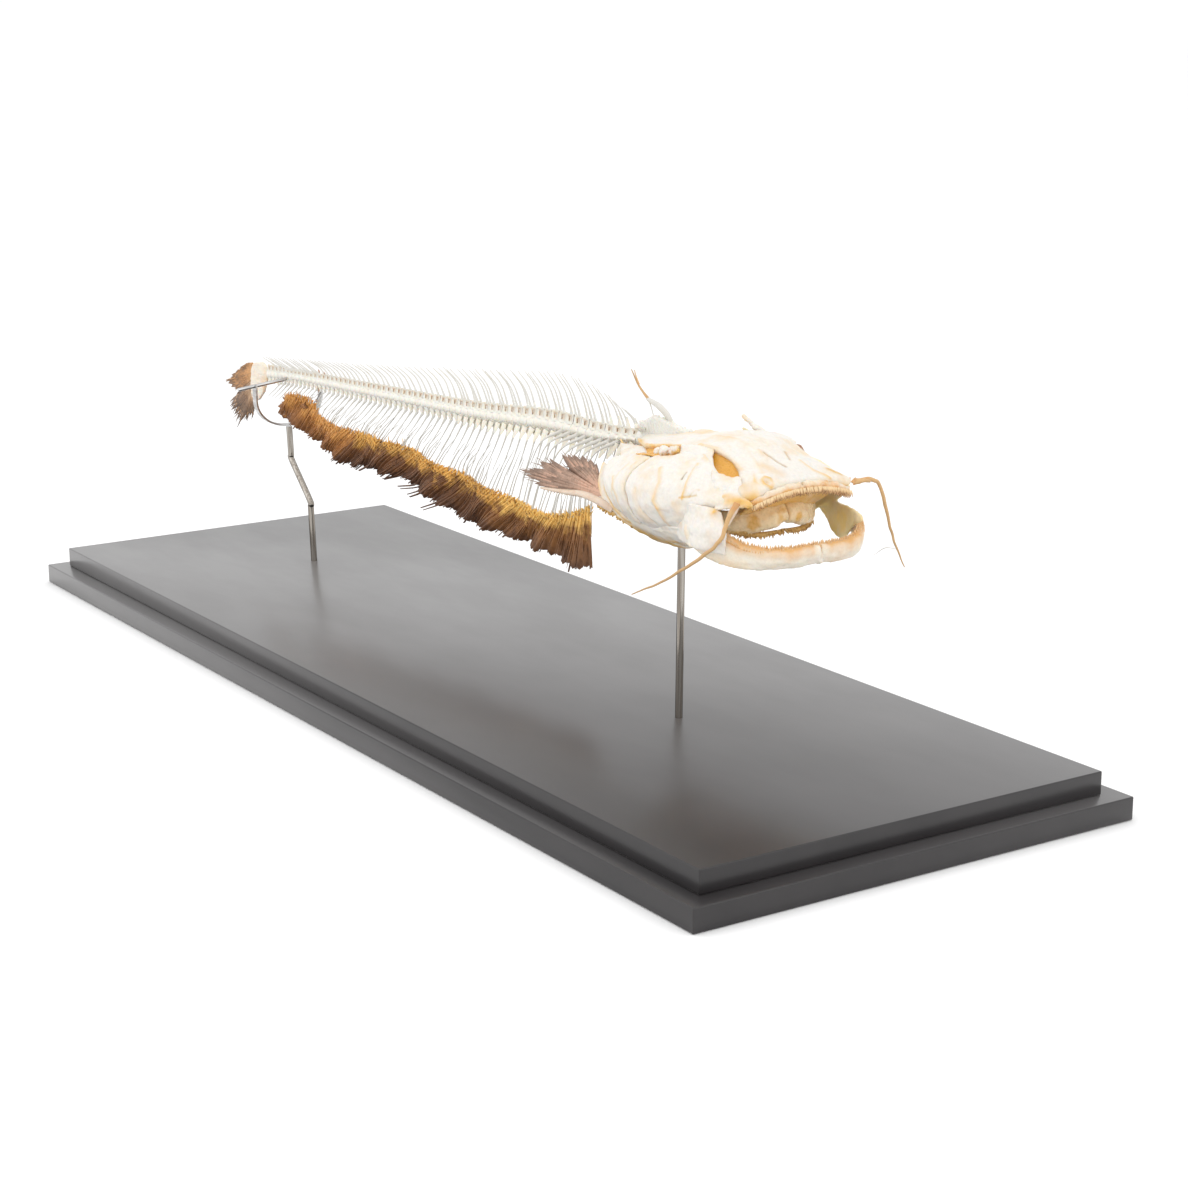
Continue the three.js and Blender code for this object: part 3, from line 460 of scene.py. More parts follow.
def buildBoards():
    for name in ("base_lower", "base_upper"):
        low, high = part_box(name)
        deselectAll()
        bpy.ops.mesh.primitive_cube_add(size=1, location=(low + high) / 2, scale=high - low)
        board = bpy.context.object
        applyPlace(board)
        addModifier(board, "BEVEL", width=0.7 * mm, segments=3, limit_method="ANGLE")
        applyModifiers(board)
        finishPiece(board, name + "_board", "boardLacquer", [name], 30)


rods = {"radius": 2.0, "sunk": 8.0, "sides": 40, "rings": 60}


def buildRods():
    form = modelRod(rods["sides"], rods["rings"])
    top, frontTop, rearTop = [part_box(name)[1].z / mm for name in ("base_upper", "rod_front", "rod_rear")]
    foot = top - rods["sunk"]
    paths = {"front": [(176.2, 0, foot), (176.2, 0, top), (178, 0, frontTop)],
             "rear": [(-237.7, 0, foot), (-237.7, 0, top), (-239.8, 0, 57), (-240, 0, 60.5),
                      (-241.4, 0, 64.2), (-264.8, 0, 86), (-266.2, 0, 89.6), (-266.4, 0, 93),
                      (-267.7, 0, rearTop)]}
    for name, path in paths.items():
        piece = rodPiece(form, (path, [rods["radius"]] * 2))
        finishPiece(piece, name + "_rod", "rodSteel", ["rod_" + name], 50)


columnRows = [
    (-296, 139, 4.0, 3.6, 1.6), (-261, 142.4, 5.0, 5.4, 2.1), (-136, 148.4, 6.2, 6.6, 2.8),
    (-27, 153.8, 6.8, 7.4, 3.4), (61, 160.2, 8.2, 7.8, 4.0), (103, 161.6, 6.7, 7.0, 4.4),
    (141, 165.2, 4.9, 5.0, 4.6)]
column = {"count": 66, "firstSpine": 3, "firstFlare": 40, "firstRib": 56, "lastRib": 63,
          "needle": ([0.5, 0.38, 0.32, 0.28, 0.2], [1.2, 0.7, 0.5, 0.42, 0.26])}
neuralTips = [(-305, 149.6), (-248, 155.6), (-165, 163.5), (-103, 170.6), (-52, 176.3), (1, 182.3),
              (48, 188), (77, 189.2), (103, 185.4), (131, 176.3)]
lowerLean = [(-280, 1.7), (-165, 1.5), (0, 0.74), (88, 0.3)]
analTop = [(-283, 118.6), (-272, 127), (-250, 131), (-234, 127.4), (-226, 120.8), (-168, 118.4),
           (-109, 119), (-68, 115.2), (-2, 110.8), (40, 107.8), (68, 111.5), (93, 120)]
analTips = [(-285, 116.5), (-271, 113.8), (-263, 113.6), (-255, 108.6), (-225, 103.4), (-200, 97),
            (-130, 99.4), (-94, 95.6), (-48, 88), (21, 87.6), (56, 86.4), (76, 81), (98, 92)]


def columnAt(x):
    return [curveAt([(row[0], row[k]) for row in columnRows], x) for k in (1, 2, 3, 4)]


def jointX(i):
    t = i / column["count"]
    return mix(columnRows[0][0], columnRows[-1][0], t * (0.8 + 0.2 * t))


def selectCorners(piece, test):
    setMode("OBJECT")
    for part in (piece.data.polygons, piece.data.edges):
        part.foreach_set("select", [False] * len(part))
    for corner in piece.data.vertices:
        corner.select = test(corner.co)
    setMode("EDIT")
    bpy.ops.mesh.select_mode(type="VERT")


# One vertebra in a unit box: a waisted drum, an upper arch with an open slit, a lower arch.
def modelVertebra():
    deselectAll()
    bpy.ops.mesh.primitive_cylinder_add(vertices=14, radius=1, depth=0.94, rotation=(0, math.pi / 2, 0))
    drum = bpy.context.object
    drum.scale = (0.46, 0.86, 1)
    applyPlace(drum)
    setMode("EDIT")
    for x in (-0.36, -0.2, 0, 0.2, 0.36):
        bpy.ops.mesh.select_all(action="SELECT")
        bpy.ops.mesh.bisect(plane_co=(x, 0, 0), plane_no=(1, 0, 0))
    for x, size in ((0.36, 0.93), (0.2, 0.76), (0, 0.68), (-0.2, 0.76), (-0.36, 0.93)):
        selectCorners(drum, lambda co: abs(co.x - x) < 0.02)
        bpy.ops.transform.resize(value=(1, size, size), center_override=(0, 0, 0))
    setMode("OBJECT")
    arches = []
    for low, high, front, back, top, slit in ((0.3, 1.0, 0.46, -0.52, 0.3, True),
                                              (-1.0, -0.28, 0.46, -0.46, 0.26, False)):
        deselectAll()
        bpy.ops.mesh.primitive_cube_add(size=1, location=((front + back) / 2, 0, (low + high) / 2),
                                        scale=(front - back, 0.8, high - low))
        arch = bpy.context.object
        applyPlace(arch)
        setMode("EDIT")
        far = high if slit else low
        selectCorners(arch, lambda co: abs(co.z - far) < 0.01)
        bpy.ops.transform.resize(value=(0.94 if slit else 0.2, top, 1), center_override=(0.06, 0, far))
        setMode("OBJECT")
        if slit:
            for face in arch.data.polygons:
                face.select = abs(face.normal.y) > 0.7
            for edge in arch.data.edges:
                edge.select = False
            for corner in arch.data.vertices:
                corner.select = False
            setMode("EDIT")
            bpy.ops.mesh.select_mode(type="FACE")
            bpy.ops.mesh.inset(use_individual=True, thickness=0.2, depth=0)
            bpy.ops.transform.resize(value=(0.36, 1, 0.9), center_override=(-0.03, 0, 0.62))
            bpy.ops.mesh.inset(use_individual=True, thickness=0.01, depth=-0.12)
            setMode("OBJECT")
        arches.append(arch)
    piece = joinPieces([drum] + arches)
    corners, faces = readForm(piece)
    slit = ((np.abs(corners[:, 1]) < 0.3) & (corners[:, 2] > 0.4) & (corners[:, 2] < 0.92)
            & (np.abs(corners[:, 0] + 0.03) < 0.26))
    return corners, faces, slit.astype(float)


def neuralPath(i):
    x = mix(jointX(i), jointX(i + 1), 0.74)
    forward = (x - columnRows[0][0]) / (columnRows[-1][0] - columnRows[0][0])
    tipX = x - mix(29, 16, forward ** 1.4)
    z, up = columnAt(x)[:2]
    base, tipZ = z + up * 0.74, curveAt(neuralTips, tipX)
    bend = mix(0.27, 0.42, forward) if i >= 14 else 0.45
    rise = 0.62 if i >= 14 else 0.52
    return [(x, 0, base), (mix(x, tipX, bend), 0, mix(base, tipZ, rise)), (tipX, 0, tipZ)]


def haemalPath(i):
    x = mix(jointX(i), jointX(i + 1), 0.74)
    level = columnAt(x)
    base, lean = level[0] - level[2] * 0.8, curveAt(lowerLean, x)
    drop = max(base - curveAt(analTop, x - lean * 16), 8) * 0.68
    return [(x, 0, base), (x - lean * drop * 0.48, 0.3, base - drop * 0.5),
            (x - lean * drop, 0.2, base - drop)]


def ribPath(i, side):
    x = mix(jointX(i), jointX(i + 1), 0.74)
    z = columnAt(x)[0] - 1.6
    size = 1 - 0.05 * abs(i - 60)
    return [(x, side * 1.2, z), (x - 9 * size, side * (3 + 10 * size), z - 8 * size),
            (x - 21 * size, side * (3 + 12 * size), z - 26 * size)]


spineLengths = {"spine_tail_rear": (0, 17), "spine_tail_middle": (17, 33),
                "spine_tail_front": (33, 48), "spine_trunk": (48, 66)}


def buildColumn():
    rng = random.Random(4)
    corners, faces, slit = modelVertebra()
    for name, (start, stop) in spineLengths.items():
        bones, needles = newHeap(), newHeap()
        for i in range(start, stop):
            a, b = jointX(i), jointX(i + 1)
            z, up, down, side = columnAt((a + b) / 2)
            turn = rng.uniform(-0.03, 0.03)
            up, down = np.array((up, down)) * (1 + 0.1 * max(6 - i, 0))
            placed = corners.copy()
            placed[:, 0] = (a + b) / 2 + corners[:, 0] * (b - a) + corners[:, 2] * turn * up
            placed[:, 1] *= side
            placed[:, 2] = z + np.where(corners[:, 2] > 0, corners[:, 2] * up, corners[:, 2] * down)
            stain = np.where(corners[:, 2] > 0.35, 0.3, np.where(corners[:, 2] < -0.5, 0.42, 0.04))
            heapUp(bones, placed, faces, slit, stain)
            flare = max(i - column["firstFlare"], 0) / (column["count"] - column["firstFlare"])
            if flare > 0:
                x, wide = (a + b) / 2 + 0.8, (b - a) * 0.4
                rise, fall = 6 * flare, 7 * flare
                layRod(bones, rodFine, [(x, 0, z + up * 0.6), (x - rise * 0.3, 0, z + up + rise)],
                       [0.7, 0.4, 0.2], [wide, wide * 0.6, wide * 0.16], tone=0.12, shares=(0, 0))
                for half in (-1, 1):
                    end = (x - fall * 0.4, half * (side + 3 * flare), z - down - fall * 0.8)
                    layRod(bones, rodFine, [(x, half * side * 0.6, z - down * 0.4), end],
                           [0.7, 0.5, 0.2], [wide * 0.9, wide * 0.7, wide * 0.2], tone=0.3, shares=(0, 0))
            if i < column["firstSpine"]:
                continue
            reach = rng.uniform(0.9, 1.0)
            path = np.array(neuralPath(i))
            path[2] = path[1] + (path[2] - path[1]) * reach
            path[1:, 1] += rng.uniform(-0.5, 0.5)
            layRod(needles, rodFine, path, *column["needle"])
            if i > column["firstFlare"] and i % 2:
                path = path * (1, -1, 1) + (0.5 * (b - a), 0, -0.5)
                layRod(needles, rodFine, path, *column["needle"])
            if i < column["firstRib"]:
                layRod(needles, rodFine, haemalPath(i), [0.5, 0.34, 0.26, 0.2, 0.16],
                       [1.5, 0.6, 0.34, 0.26, 0.18])
            elif i <= column["lastRib"]:
                for half in (-1, 1):
                    layRod(needles, rodFine, ribPath(i, half), [0.6, 0.42, 0.32, 0.2], [1.3, 0.7, 0.36, 0.2])
        finishPiece(pieceFrom(bones), name + "_vertebrae", "spineBone", [name], 35)
        finishPiece(pieceFrom(needles), name + "_spines", "thinBone", [name])


analRun = [(-262, 20), (-240, 17), (-200, 24), (-100, 34), (0, 32), (50, 20), (80, 8), (93, 2)]
analFin = {"rays": 96, "rear": -262, "front": 93, "fold": 2.2, "foldLength": 62, "ruffle": 2.0,
           "ruffleLength": 23, "lobe": 1.6, "lobeLength": 47, "strands": 6, "fringe": 12,
           "looks": ("rearRays", "middleRays", "foreRays", "frontRays")}
analSpikes = {-92: 1.3, -70: 1.45, -58: 1.3, -128: 1.25, -142: 1.2, -36: 1.3}


def analFold(x):
    return analFin["fold"] * math.sin(2 * math.pi * x / analFin["foldLength"])


# Place on the fin at root x and depth v, where 1 is the tip of the ray.
def analPlace(x, v):
    run = curveAt(analRun, x)
    tipX = x - run
    lobe = analFin["lobe"] * abs(math.sin(math.pi * (tipX + 20) / analFin["lobeLength"])) - 1.0
    low, high = curveAt(analTips, tipX) - lobe, curveAt(analTop, x)
    at = x - run * (max(v, 0) ** 0.92 + min(v, 0))
    sway = analFin["ruffle"] * v * math.sin(2 * math.pi * x / analFin["ruffleLength"] + 1.4 * v)
    return np.array((at, analFold(at) + sway, mix(high, low, v) - 0.6 * math.sin(math.pi * min(v, 1))))


# The curled tuft that closes the fin behind.
def buildTuft():
    rim = [(-266, 0, 112), (-274, 0, 112.6), (-280, 0, 115), (-282.6, 0, 118.6), (-280.6, 0, 122.4),
           (-275.4, 0, 126), (-267, 0, 129.8), (-258, 0, 131.4), (-248, 0, 131.4), (-240, 0, 129.6),
           (-234, 0, 126)]
    seat = [(-262, 0, 119), (-260, 0, 120.4), (-257, 0, 121.4)]
    return buildFan(seat, rim, {"seed": 14, "rays": 26, "bow": 0, "wave": 1.6, "folds": 5, "notch": 0.05,
                                "width": 0.6})


def buildAnalFin():
    rng = random.Random(11)
    span = analFin["front"] - analFin["rear"]
    for part in range(4):
        first = analFin["rear"] + span * part / 4
        last = analFin["rear"] + span * (part + 1) / 4
        count = analFin["rays"] // 4
        ends = [rng.uniform(0.9, 1.05) for k in range(count + 1)]

        def skin(u, v):
            k = u * count
            i = min(int(k), count - 1)
            end = mix(ends[i], ends[i + 1], k - i) - 0.07 * (1 - abs(2 * (k - i) - 1))
            spot = analPlace(mix(first, last, u), v * end)
            spot[1] += 0.55 * math.sin(2 * math.pi * k) * min(v * 3, 1)
            return spot

        web = laySheet(skin, count * 6, 12, 0.5)
        heap, needles = newHeap(), newHeap()
        for k in range(count):
            x = mix(first, last, (k + 0.5) / count)
            near = min(analSpikes, key=lambda spike: abs(spike - x))
            stretch = analSpikes[near] if abs(near - x) < 3 else rng.uniform(0.94, 1.07)
            for side in (-0.6, 0.6):
                shift = rng.uniform(-0.6, 0.6)
                path = [analPlace(x + shift, v * stretch) + (0, side * (1.2 - v), 0)
                        for v in (-0.04, 0.2, 0.45, 0.7, 1.0)]
                path[-1] += np.array((-22, 0, 9)) * max(stretch - 1.1, 0)
                layRod(heap, rodFine, path, [0.6, 0.6, 0.5, 0.25], tone=rng.random())
            for n in range(analFin["strands"]):
                at, start = x + rng.uniform(-3, 3), rng.uniform(0, 0.6)
                stop = start + rng.uniform(0.2, 0.42)
                off = rng.uniform(-1.6, 1.6)
                bends = ((start, 0), ((start + stop) / 2, rng.uniform(-0.5, 0.5)), (stop, rng.uniform(-1, 1)))
                path = [analPlace(at + shift, v) + (0, off, 0) for v, shift in bends]
                layRod(heap, rodThin, path, [0.2, 0.3, 0.1], tone=rng.random(), shares=(start, stop))
            for n in range(analFin["fringe"]):
                at = x + rng.uniform(-2.2, 2.2)
                root = analPlace(at, rng.uniform(0.0, 0.16)) + (0, rng.uniform(-1.2, 1.2), 0)
                long = rng.uniform(1.2, 3.6) * (1.8 if -165 < x < -115 and n < 3 else 1)
                tip = root + (rng.uniform(-0.9, 0.9) * long, rng.uniform(-1, 1), long)
                layTooth(heap, root, tip, [0.45, 0.36, 0.1], (rng.uniform(-0.5, 0.5), 0, 0),
                         tone=rng.random(), shares=(0, 0.15))
            for n in (0, 1):
                at = x + rng.uniform(-1.2, 1.2) + 1.8 * n
                z, lean = curveAt(analTop, at), curveAt(lowerLean, at)
                level = columnAt(at)
                rise = max((level[0] - level[2] - 2 - z) * rng.uniform(0.3, 0.9), 4)
                beside = rng.uniform(0.6, 1.6) * (-1 if analFold(at) < 0 else 1)
                path = [(at, analFold(at), z - 2), (at + lean * rise * 0.46, beside * 0.6, z + rise * 0.5),
                        (at + lean * rise, beside, z + rise)]
                if rng.random() < (0.8, 0.3)[n]:
                    path[2] = (path[2][0] + rng.uniform(-2.5, 2.5), path[2][1], path[2][2])
                    layRod(needles, rodThin, path, [0.42, 0.3, 0.16], tone=rng.random())
        joined = joinPieces([web, pieceFrom(heap)])
        node = "anal_fin_%d" % (part + 1)
        if part == 0:
            joined = joinPieces([joined, buildTuft()])
        finishPiece(joined, node + "_rays", analFin["looks"][part], [node], 50)
        finishPiece(pieceFrom(needles), node + "_supports", "thinBone", [node])


# A fan of split rays and their web; root and tips are millimetre points.
def buildFan(roots, tips, settings):
    rng = random.Random(settings["seed"])
    count = settings["rays"]
    ends = [rng.uniform(settings.get("short", 0.78), 1.0) for k in range(count + 1)]

    def place(u, v):
        root, tip = spotAt(roots, u), spotAt(tips, u)
        bow = settings["bow"] * math.sin(math.pi * min(v, 1))
        wave = settings["wave"] * math.sin(settings["folds"] * 2 * math.pi * u) * v
        return mix(root, tip, v) + np.array((0, wave - bow, bow * 0.4))

    def skin(u, v):
        k = u * count
        i = min(int(k), count - 1)
        end = mix(ends[i], ends[i + 1], k - i) - settings["notch"] * (1 - abs(2 * (k - i) - 1))
        spot = place(u, v * end)
        spot[1] += 0.25 * math.sin(2 * math.pi * k)
        return spot

    web = laySheet(skin, count * 4, 10, 0.35)
    heap = newHeap()
    wide = settings["width"]
    for k in range(count + 1):
        u = k / count
        reach = ends[k] * rng.uniform(1.0, 1.1)
        stem = [place(u, v) for v in (0.0, 0.3, 0.6)]
        layRod(heap, rodFine, stem, [wide, wide * 0.85, wide * 0.7], tone=rng.random())
        for n in range(3):
            aside = (n - 1) * 0.3 / count + rng.uniform(-0.1, 0.1) / count
            stops = [(u, 0.55), (u + aside, 0.76 * reach), (u + aside * 2, reach * rng.uniform(0.86, 1.02))]
            path = [place(min(max(at, 0), 1), v) for at, v in stops]
            layRod(heap, rodThin, path, [wide * 0.6, wide * 0.5, wide * 0.15], tone=rng.random())
    return joinPieces([web, pieceFrom(heap)])


def buildTail():
    upper = buildFan(
        [(-321.6, 0, 132.4), (-321, 0, 138), (-319.6, 0, 143.2)],
        [(-343, 0, 121.4), (-353, 0, 121), (-362, 0, 125), (-357, 0, 129.6), (-349, 0, 133.4),
         (-340, 0, 137.8), (-330, 0, 142)],
        {"seed": 5, "rays": 14, "bow": 0, "wave": 1.0, "folds": 2, "notch": 0.12, "width": 0.7})
    finishPiece(upper, "tail_upper_rays", "tailRays", ["tail_fin_upper"], 50)
    lower = buildFan(
        [(-319.6, 0, 119.2), (-322.2, 0, 124), (-322.2, 0, 130.4)],
        [(-320, 0, 109), (-330, 0, 103), (-340, 0, 98.6), (-349, 0, 95.4), (-354, 0, 99.8), (-360, 0, 106),
         (-358, 0, 112.4), (-349, 0, 118)],
        {"seed": 8, "rays": 15, "bow": 0, "wave": 1.2, "folds": 2.5, "notch": 0.2, "width": 0.75})
    finishPiece(lower, "tail_lower_rays", "darkTail", ["tail_fin_lower"], 50)


def mirrorPiece(piece):
    pick(piece)
    bpy.ops.object.duplicate()
    twin = bpy.context.object
    twin.scale = (1, -1, 1)
    applyPlace(twin)
    return turnOutward(twin)


def buildPectorals():
    root = np.array((173.8, -45.4, 148.6))
    roots = [root + (0, -0.4, -1.6), root, root + (-0.4, 0.8, 1.6)]
    tips = [(118, -46.5, 140.9), (109.3, -46.5, 141.9), (98, -46.2, 144.6), (91, -46, 146.9),
            (99, -45.4, 149), (107, -45, 149.8), (113, -44, 154.1), (118, -42.6, 156.8),
            (130, -41.4, 151.4), (123, -39, 159.4), (127.4, -38, 161), (134.4, -37, 161.1),
            (141.6, -36, 161.5), (149, -36, 161), (154.4, -36.4, 158.6), (160, -37.4, 151.4),
            (164, -37, 159.6), (168.4, -38.6, 156)]
    fan = buildFan(roots, tips, {"seed": 21, "rays": 17, "bow": 1.0, "wave": 0.8, "folds": 2.5, "notch": 0.16,
                                 "short": 0.92, "width": 0.7})
    heap = newHeap()
    edge = [(179, -42.6, 140.2), (173, -46, 143.6), (158, -47.2, 145), (143, -47.4, 143.4),
            (118.5, -47, 141.2)]
    layRod(heap, rodFine, edge, [2.0, 2.0, 1.7, 1.3, 0.6], [2.6, 2.4, 1.9, 1.4, 0.6])
    rng = random.Random(2)
    for k in range(26):
        spot = spotAt(edge, 0.2 + 0.75 * k / 26)
        tip = spot + (-1.2, rng.uniform(-0.4, 0.4), -2.2)
        layTooth(heap, spot, tip, [0.4, 0.3, 0.1])
    bar = pieceFrom(heap)
    for name, half in (("pectoral_fin_right", 1), ("pectoral_fin_left", -1)):
        rays, spine = (fan, bar) if half > 0 else (mirrorPiece(fan), mirrorPiece(bar))
        finishPiece(rays, name + "_rays", "greyRays", [name], 50)
        finishPiece(spine, name + "_spine", "spineStiff", [name])


def buildDorsal():
    support = rodPiece(
        rodFine,
        ([(168.8, 0, 178.4), (164, 0, 181.8), (157, 0, 185), (147.2, 0, 187.2)],
         [0.9, 1.3, 1.3, 0.9], [1.2, 1.9, 1.8, 1.0]),
        ([(152.4, 0, 179.4), (150.6, 0, 183), (148.4, 0, 186.8)], [0.3, 0.3, 0.45]))
    finishPiece(support, "dorsal_support", "thinBone", ["dorsal_fin"])
    ray = rodPiece(
        rodFine,
        ([(149.4, 0, 186.4), (143, 0, 190.2), (138, 0, 194), (132.4, 0, 200.4)],
         [0.9, 0.6, 0.5, 0.25], None, 0.3),
        ([(139, 0.2, 193.6), (135.6, 0.4, 198), (134.6, 0.4, 200.4)], [0.4, 0.2]))
    finishPiece(ray, "dorsal_ray", "barbelSkin", ["dorsal_fin"])


cradle = {"x": -267.7, "floor": 110, "arm": 23.5, "width": 5, "thickness": 1.2, "turn": 102, "depth": 18,
          "pin": 35.5}


def cradleSpot(u, v):
    turn = mix(-cradle["turn"], cradle["turn"], u)
    reach = min(abs(turn), 90)
    side = math.copysign(cradle["arm"] * math.sin(math.radians(reach)) ** 0.9, turn)
    rise = cradle["floor"] + cradle["depth"] * (1 - math.cos(math.radians(reach)))
    rise += 0.85 * max(abs(turn) - 90, 0)
    return cradle["x"] + (v - 0.5) * cradle["width"], side, rise


def buildCradle():
    strap = laySheet(cradleSpot, 48, 4, cradle["thickness"])
    pins = [([(cradle["x"], side * cradle["pin"], 136.1), (cradle["x"], side * 1.2, 139.9)], [1.2, 1.2])
            for side in (-1, 1)]
    whole = joinPieces([strap, rodPiece(rodFine, *pins)])
    finishPiece(whole, "tail_strap", "strapSteel", ["tail_cradle"], 40)


def readCorners(piece):
    mesh = piece.data
    places = np.empty(len(mesh.vertices) * 3)
    mesh.vertices.foreach_get("co", places)
    normals = np.empty(len(mesh.vertices) * 3, np.float32)
    mesh.vertex_normals.foreach_get("vector", normals)
    return places.reshape(-1, 3) / mm, normals.reshape(-1, 3).astype(float)


def moveCorners(piece, places):
    piece.data.vertices.foreach_set("co", (places * mm).ravel())
    piece.data.update()


# Nearness to a path of millimetre points: 1 on it, falling off over the radius.
def nearPath(places, points, radius):
    points = np.asarray(points, float)
    best = np.full(len(places), 1e9)
    for a, b in zip(points[:-1], points[1:]):
        run = b - a
        t = np.clip(((places - a) @ run) / (run @ run + 1e-9), 0, 1)
        best = np.minimum(best, np.linalg.norm(places - a - t[:, None] * run, axis=1))
    return np.exp(-(best / radius) ** 2)


def cloudAt(places, size, seed, stretch=(1, 1, 1), octaves=3):
    grid = places / size / np.asarray(stretch, float) + seed * 7.3
    return np.array([noise.fractal(row, 1.0, 2.0, octaves) for row in grid.tolist()])


# How far each corner stands out from the mean of its surroundings.
def bulgeAt(piece, places, normals, rounds):
    edges = np.empty(len(piece.data.edges) * 2, np.int32)
    piece.data.edges.foreach_get("vertices", edges)
    a, b = edges.reshape(-1, 2).T
    count = len(places)
    share = np.bincount(a, minlength=count) + np.bincount(b, minlength=count)
    mean = places.copy()
    for k in range(rounds):
        total = np.stack([np.bincount(a, mean[b, axis], count) + np.bincount(b, mean[a, axis], count)
                          for axis in range(3)], axis=1)
        mean = 0.5 * mean + 0.5 * total / share[:, None]
    return ((places - mean) * normals).sum(axis=1)


# A copy of the planned solid is rounded, rebuilt finely, carved and stained.
def copyNodes(nodes):
    deselectAll()
    twins = []
    for node in nodes:
        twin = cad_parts[node].copy()
        twin.data = twin.data.copy()
        twin.hide_render = False
        bpy.context.scene.collection.objects.link(twin)
        twins.append(twin)
    piece = joinPieces(twins) if len(twins) > 1 else twins[0]
    applyPlace(piece)
    editAll(piece)
    bpy.ops.mesh.remove_doubles(threshold=0.02 * mm)
    bpy.ops.mesh.tris_convert_to_quads()
    setMode("OBJECT")
    addModifier(piece, "SUBSURF", subdivision_type="SIMPLE", levels=1)
    addModifier(piece, "SUBSURF", levels=2)
    applyModifiers(piece)
    return piece


def growBone(name, nodes, look, settings, strokes=()):
    return refineBone(copyNodes(nodes), name, nodes, look, settings, strokes)


# Strokes are (points, radius, height, stain, mark); heights stand out or cut in along the surface.
def refineBone(piece, name, nodes, look, settings, strokes=()):
    if "shift" in settings:
        moveCorners(piece, readCorners(piece)[0] + settings["shift"])
    if "droop" in settings:
        places = readCorners(piece)[0]
        level, share = settings["droop"]
        places[:, 2] -= share * np.clip(places[:, 2] - level, 0, None)
        moveCorners(piece, places)
    addModifier(piece, "DISPLACE", strength=settings.get("swell", 0.25) * mm, mid_level=0.0)
    addModifier(piece, "REMESH", mode="VOXEL", voxel_size=settings.get("voxel", 0.62) * mm)
    addModifier(piece, "SMOOTH", factor=0.6, iterations=settings.get("smooth", 6))
    applyModifiers(piece)
    places, normals = readCorners(piece)
    stained, marked = np.zeros(len(places)), np.zeros(len(places))
    seed = settings.get("seed", 1)
    lift = settings.get("relief", 0.3) * cloudAt(places, settings.get("lump", 7.0), seed)
    streak = cloudAt(places, 1.6, seed + 3, settings.get("streaks", (6, 2, 2)), 2)
    lift += settings.get("streaky", 0.12) * streak
    for points, radius, height, stain, mark in strokes:
        near = nearPath(places, points, radius)
        lift += height * near
        stained += stain * near
        marked += mark * near
    moveCorners(piece, places + normals * lift[:, None])
    places, normals = readCorners(piece)
    bulge = bulgeAt(piece, places, normals, 10)
    blotch = cloudAt(places, settings.get("blotchSize", 16.0), seed + 9)
    ridges = np.clip(bulge / 0.5, 0, 1) * np.clip(0.55 + blotch, 0, 1)
    hollows = np.clip(-bulge / 0.4, 0, 1) * np.clip(0.5 + 0.8 * streak, 0, 1)
    stained += settings.get("ridgeStain", 0.35) * ridges + settings.get("hollowStain", 0.35) * hollows
    stained += settings.get("blotches", 0.25) * np.clip(blotch * 2.2 - 0.35, 0, 1)
    stained += settings.get("under", 0.0) * np.clip(-normals[:, 2] * 1.6 - 0.3, 0, 1)
    setAttribute(piece, "stained", np.clip(stained, 0, 1))
    setAttribute(piece, "marked", np.clip(marked, 0, 1))
    return finishPiece(piece, name, look, nodes, 60)


def bothSides(strokes, side):
    return [([(x, side * y, z) for x, y, z in points], *rest) for points, *rest in strokes]


skullStrokes = [
    ([(254.2, -6.2, 177.2), (260.5, -4.3, 174.6), (266.3, -2.2, 172)], 0.6, -0.5, 0.5, 0.5),
    ([(256, 5, 177), (262, 3.4, 174.4)], 0.6, -0.4, 0.4, 0.3),
    ([(271.8 + 2.5 * math.cos(a), -17.4 + 2.5 * math.sin(a), 167.4 - 2.1 * math.cos(a)) for a in range(7)],
     0.9, 0.6, 0.75, 0.05),
    ([(271.6, -17.4, 167.4), (272, -17.4, 167)], 1.2, -0.9, 0.35, 0.1),
    ([(265, -20, 171), (269, -22.6, 167.4), (273, -21, 165)], 0.8, 0.5, 0.5, 0),
    ([(263.6, 8.3, 172.8), (270, 12, 169.8), (274.4, 18.1, 165.7)], 1.0, 0.4, 0.6, 0),
    ([(268, 22, 168.6), (271, 27, 166)], 1.6, 0.4, 0.8, 0.2),
    ([(276, -30, 158), (272, -29.6, 163), (268, -28, 165.6)], 2.6, 0.5, 0.7, 0.1),
    ([(266, -31, 163), (262, -27, 166)], 2.2, 0.4, 0.45, 0),
    ([(212.5, -13.8, 181.7), (228.3, -13.3, 182.6), (244.5, -10, 180)], 1.6, 0.5, 0.15, 0),
    ([(228, -24.6, 178.8), (238.3, -22.3, 178.4), (247.7, -20.9, 174.4), (258, -22, 171)], 1.2, 0.6, 0.35, 0),
    ([(150, -9, 168.4), (163, -15, 169.4), (178, -23, 170.8), (194, -28, 173.8), (210, -28.5, 176.4),
      (220, -27.6, 177.8)], 1.2, 0.7, 0.8, 0),
    ([(150, 0, 169.6), (178, 0, 174), (194, 0, 176.6)], 1.4, 0.6, 0.1, 0),
    ([(186, -3, 175.6), (196, -4, 177.4), (203, -5, 178.6)], 2.4, 0.9, 0.35, 0),
    ([(252, -8, 178), (255, -8.6, 177)], 1.4, 1.2, 0.2, 0),
    ([(262, -12, 172), (270, -8, 169.8)], 2.6, 0.2, 0.35, 0.05),
    ([(270, -24, 166.6), (275, -27, 163)], 2.4, 0.4, 0.45, 0),
    ([(236, 0, 183), (250, 0, 179.4)], 1.3, -0.5, 0.15, 0),
    ([(274.6, -29, 161.4), (276.6, -14, 163.2), (277, 0, 163.8), (276.6, 14, 163.2), (274.6, 29, 161.4)],
     2.6, 1.1, 0.25, 0),
    ([(246, -12, 179.4), (256, -13, 174.6), (266, -16, 170.6)], 1.2, 0.35, 0.15, 0)]
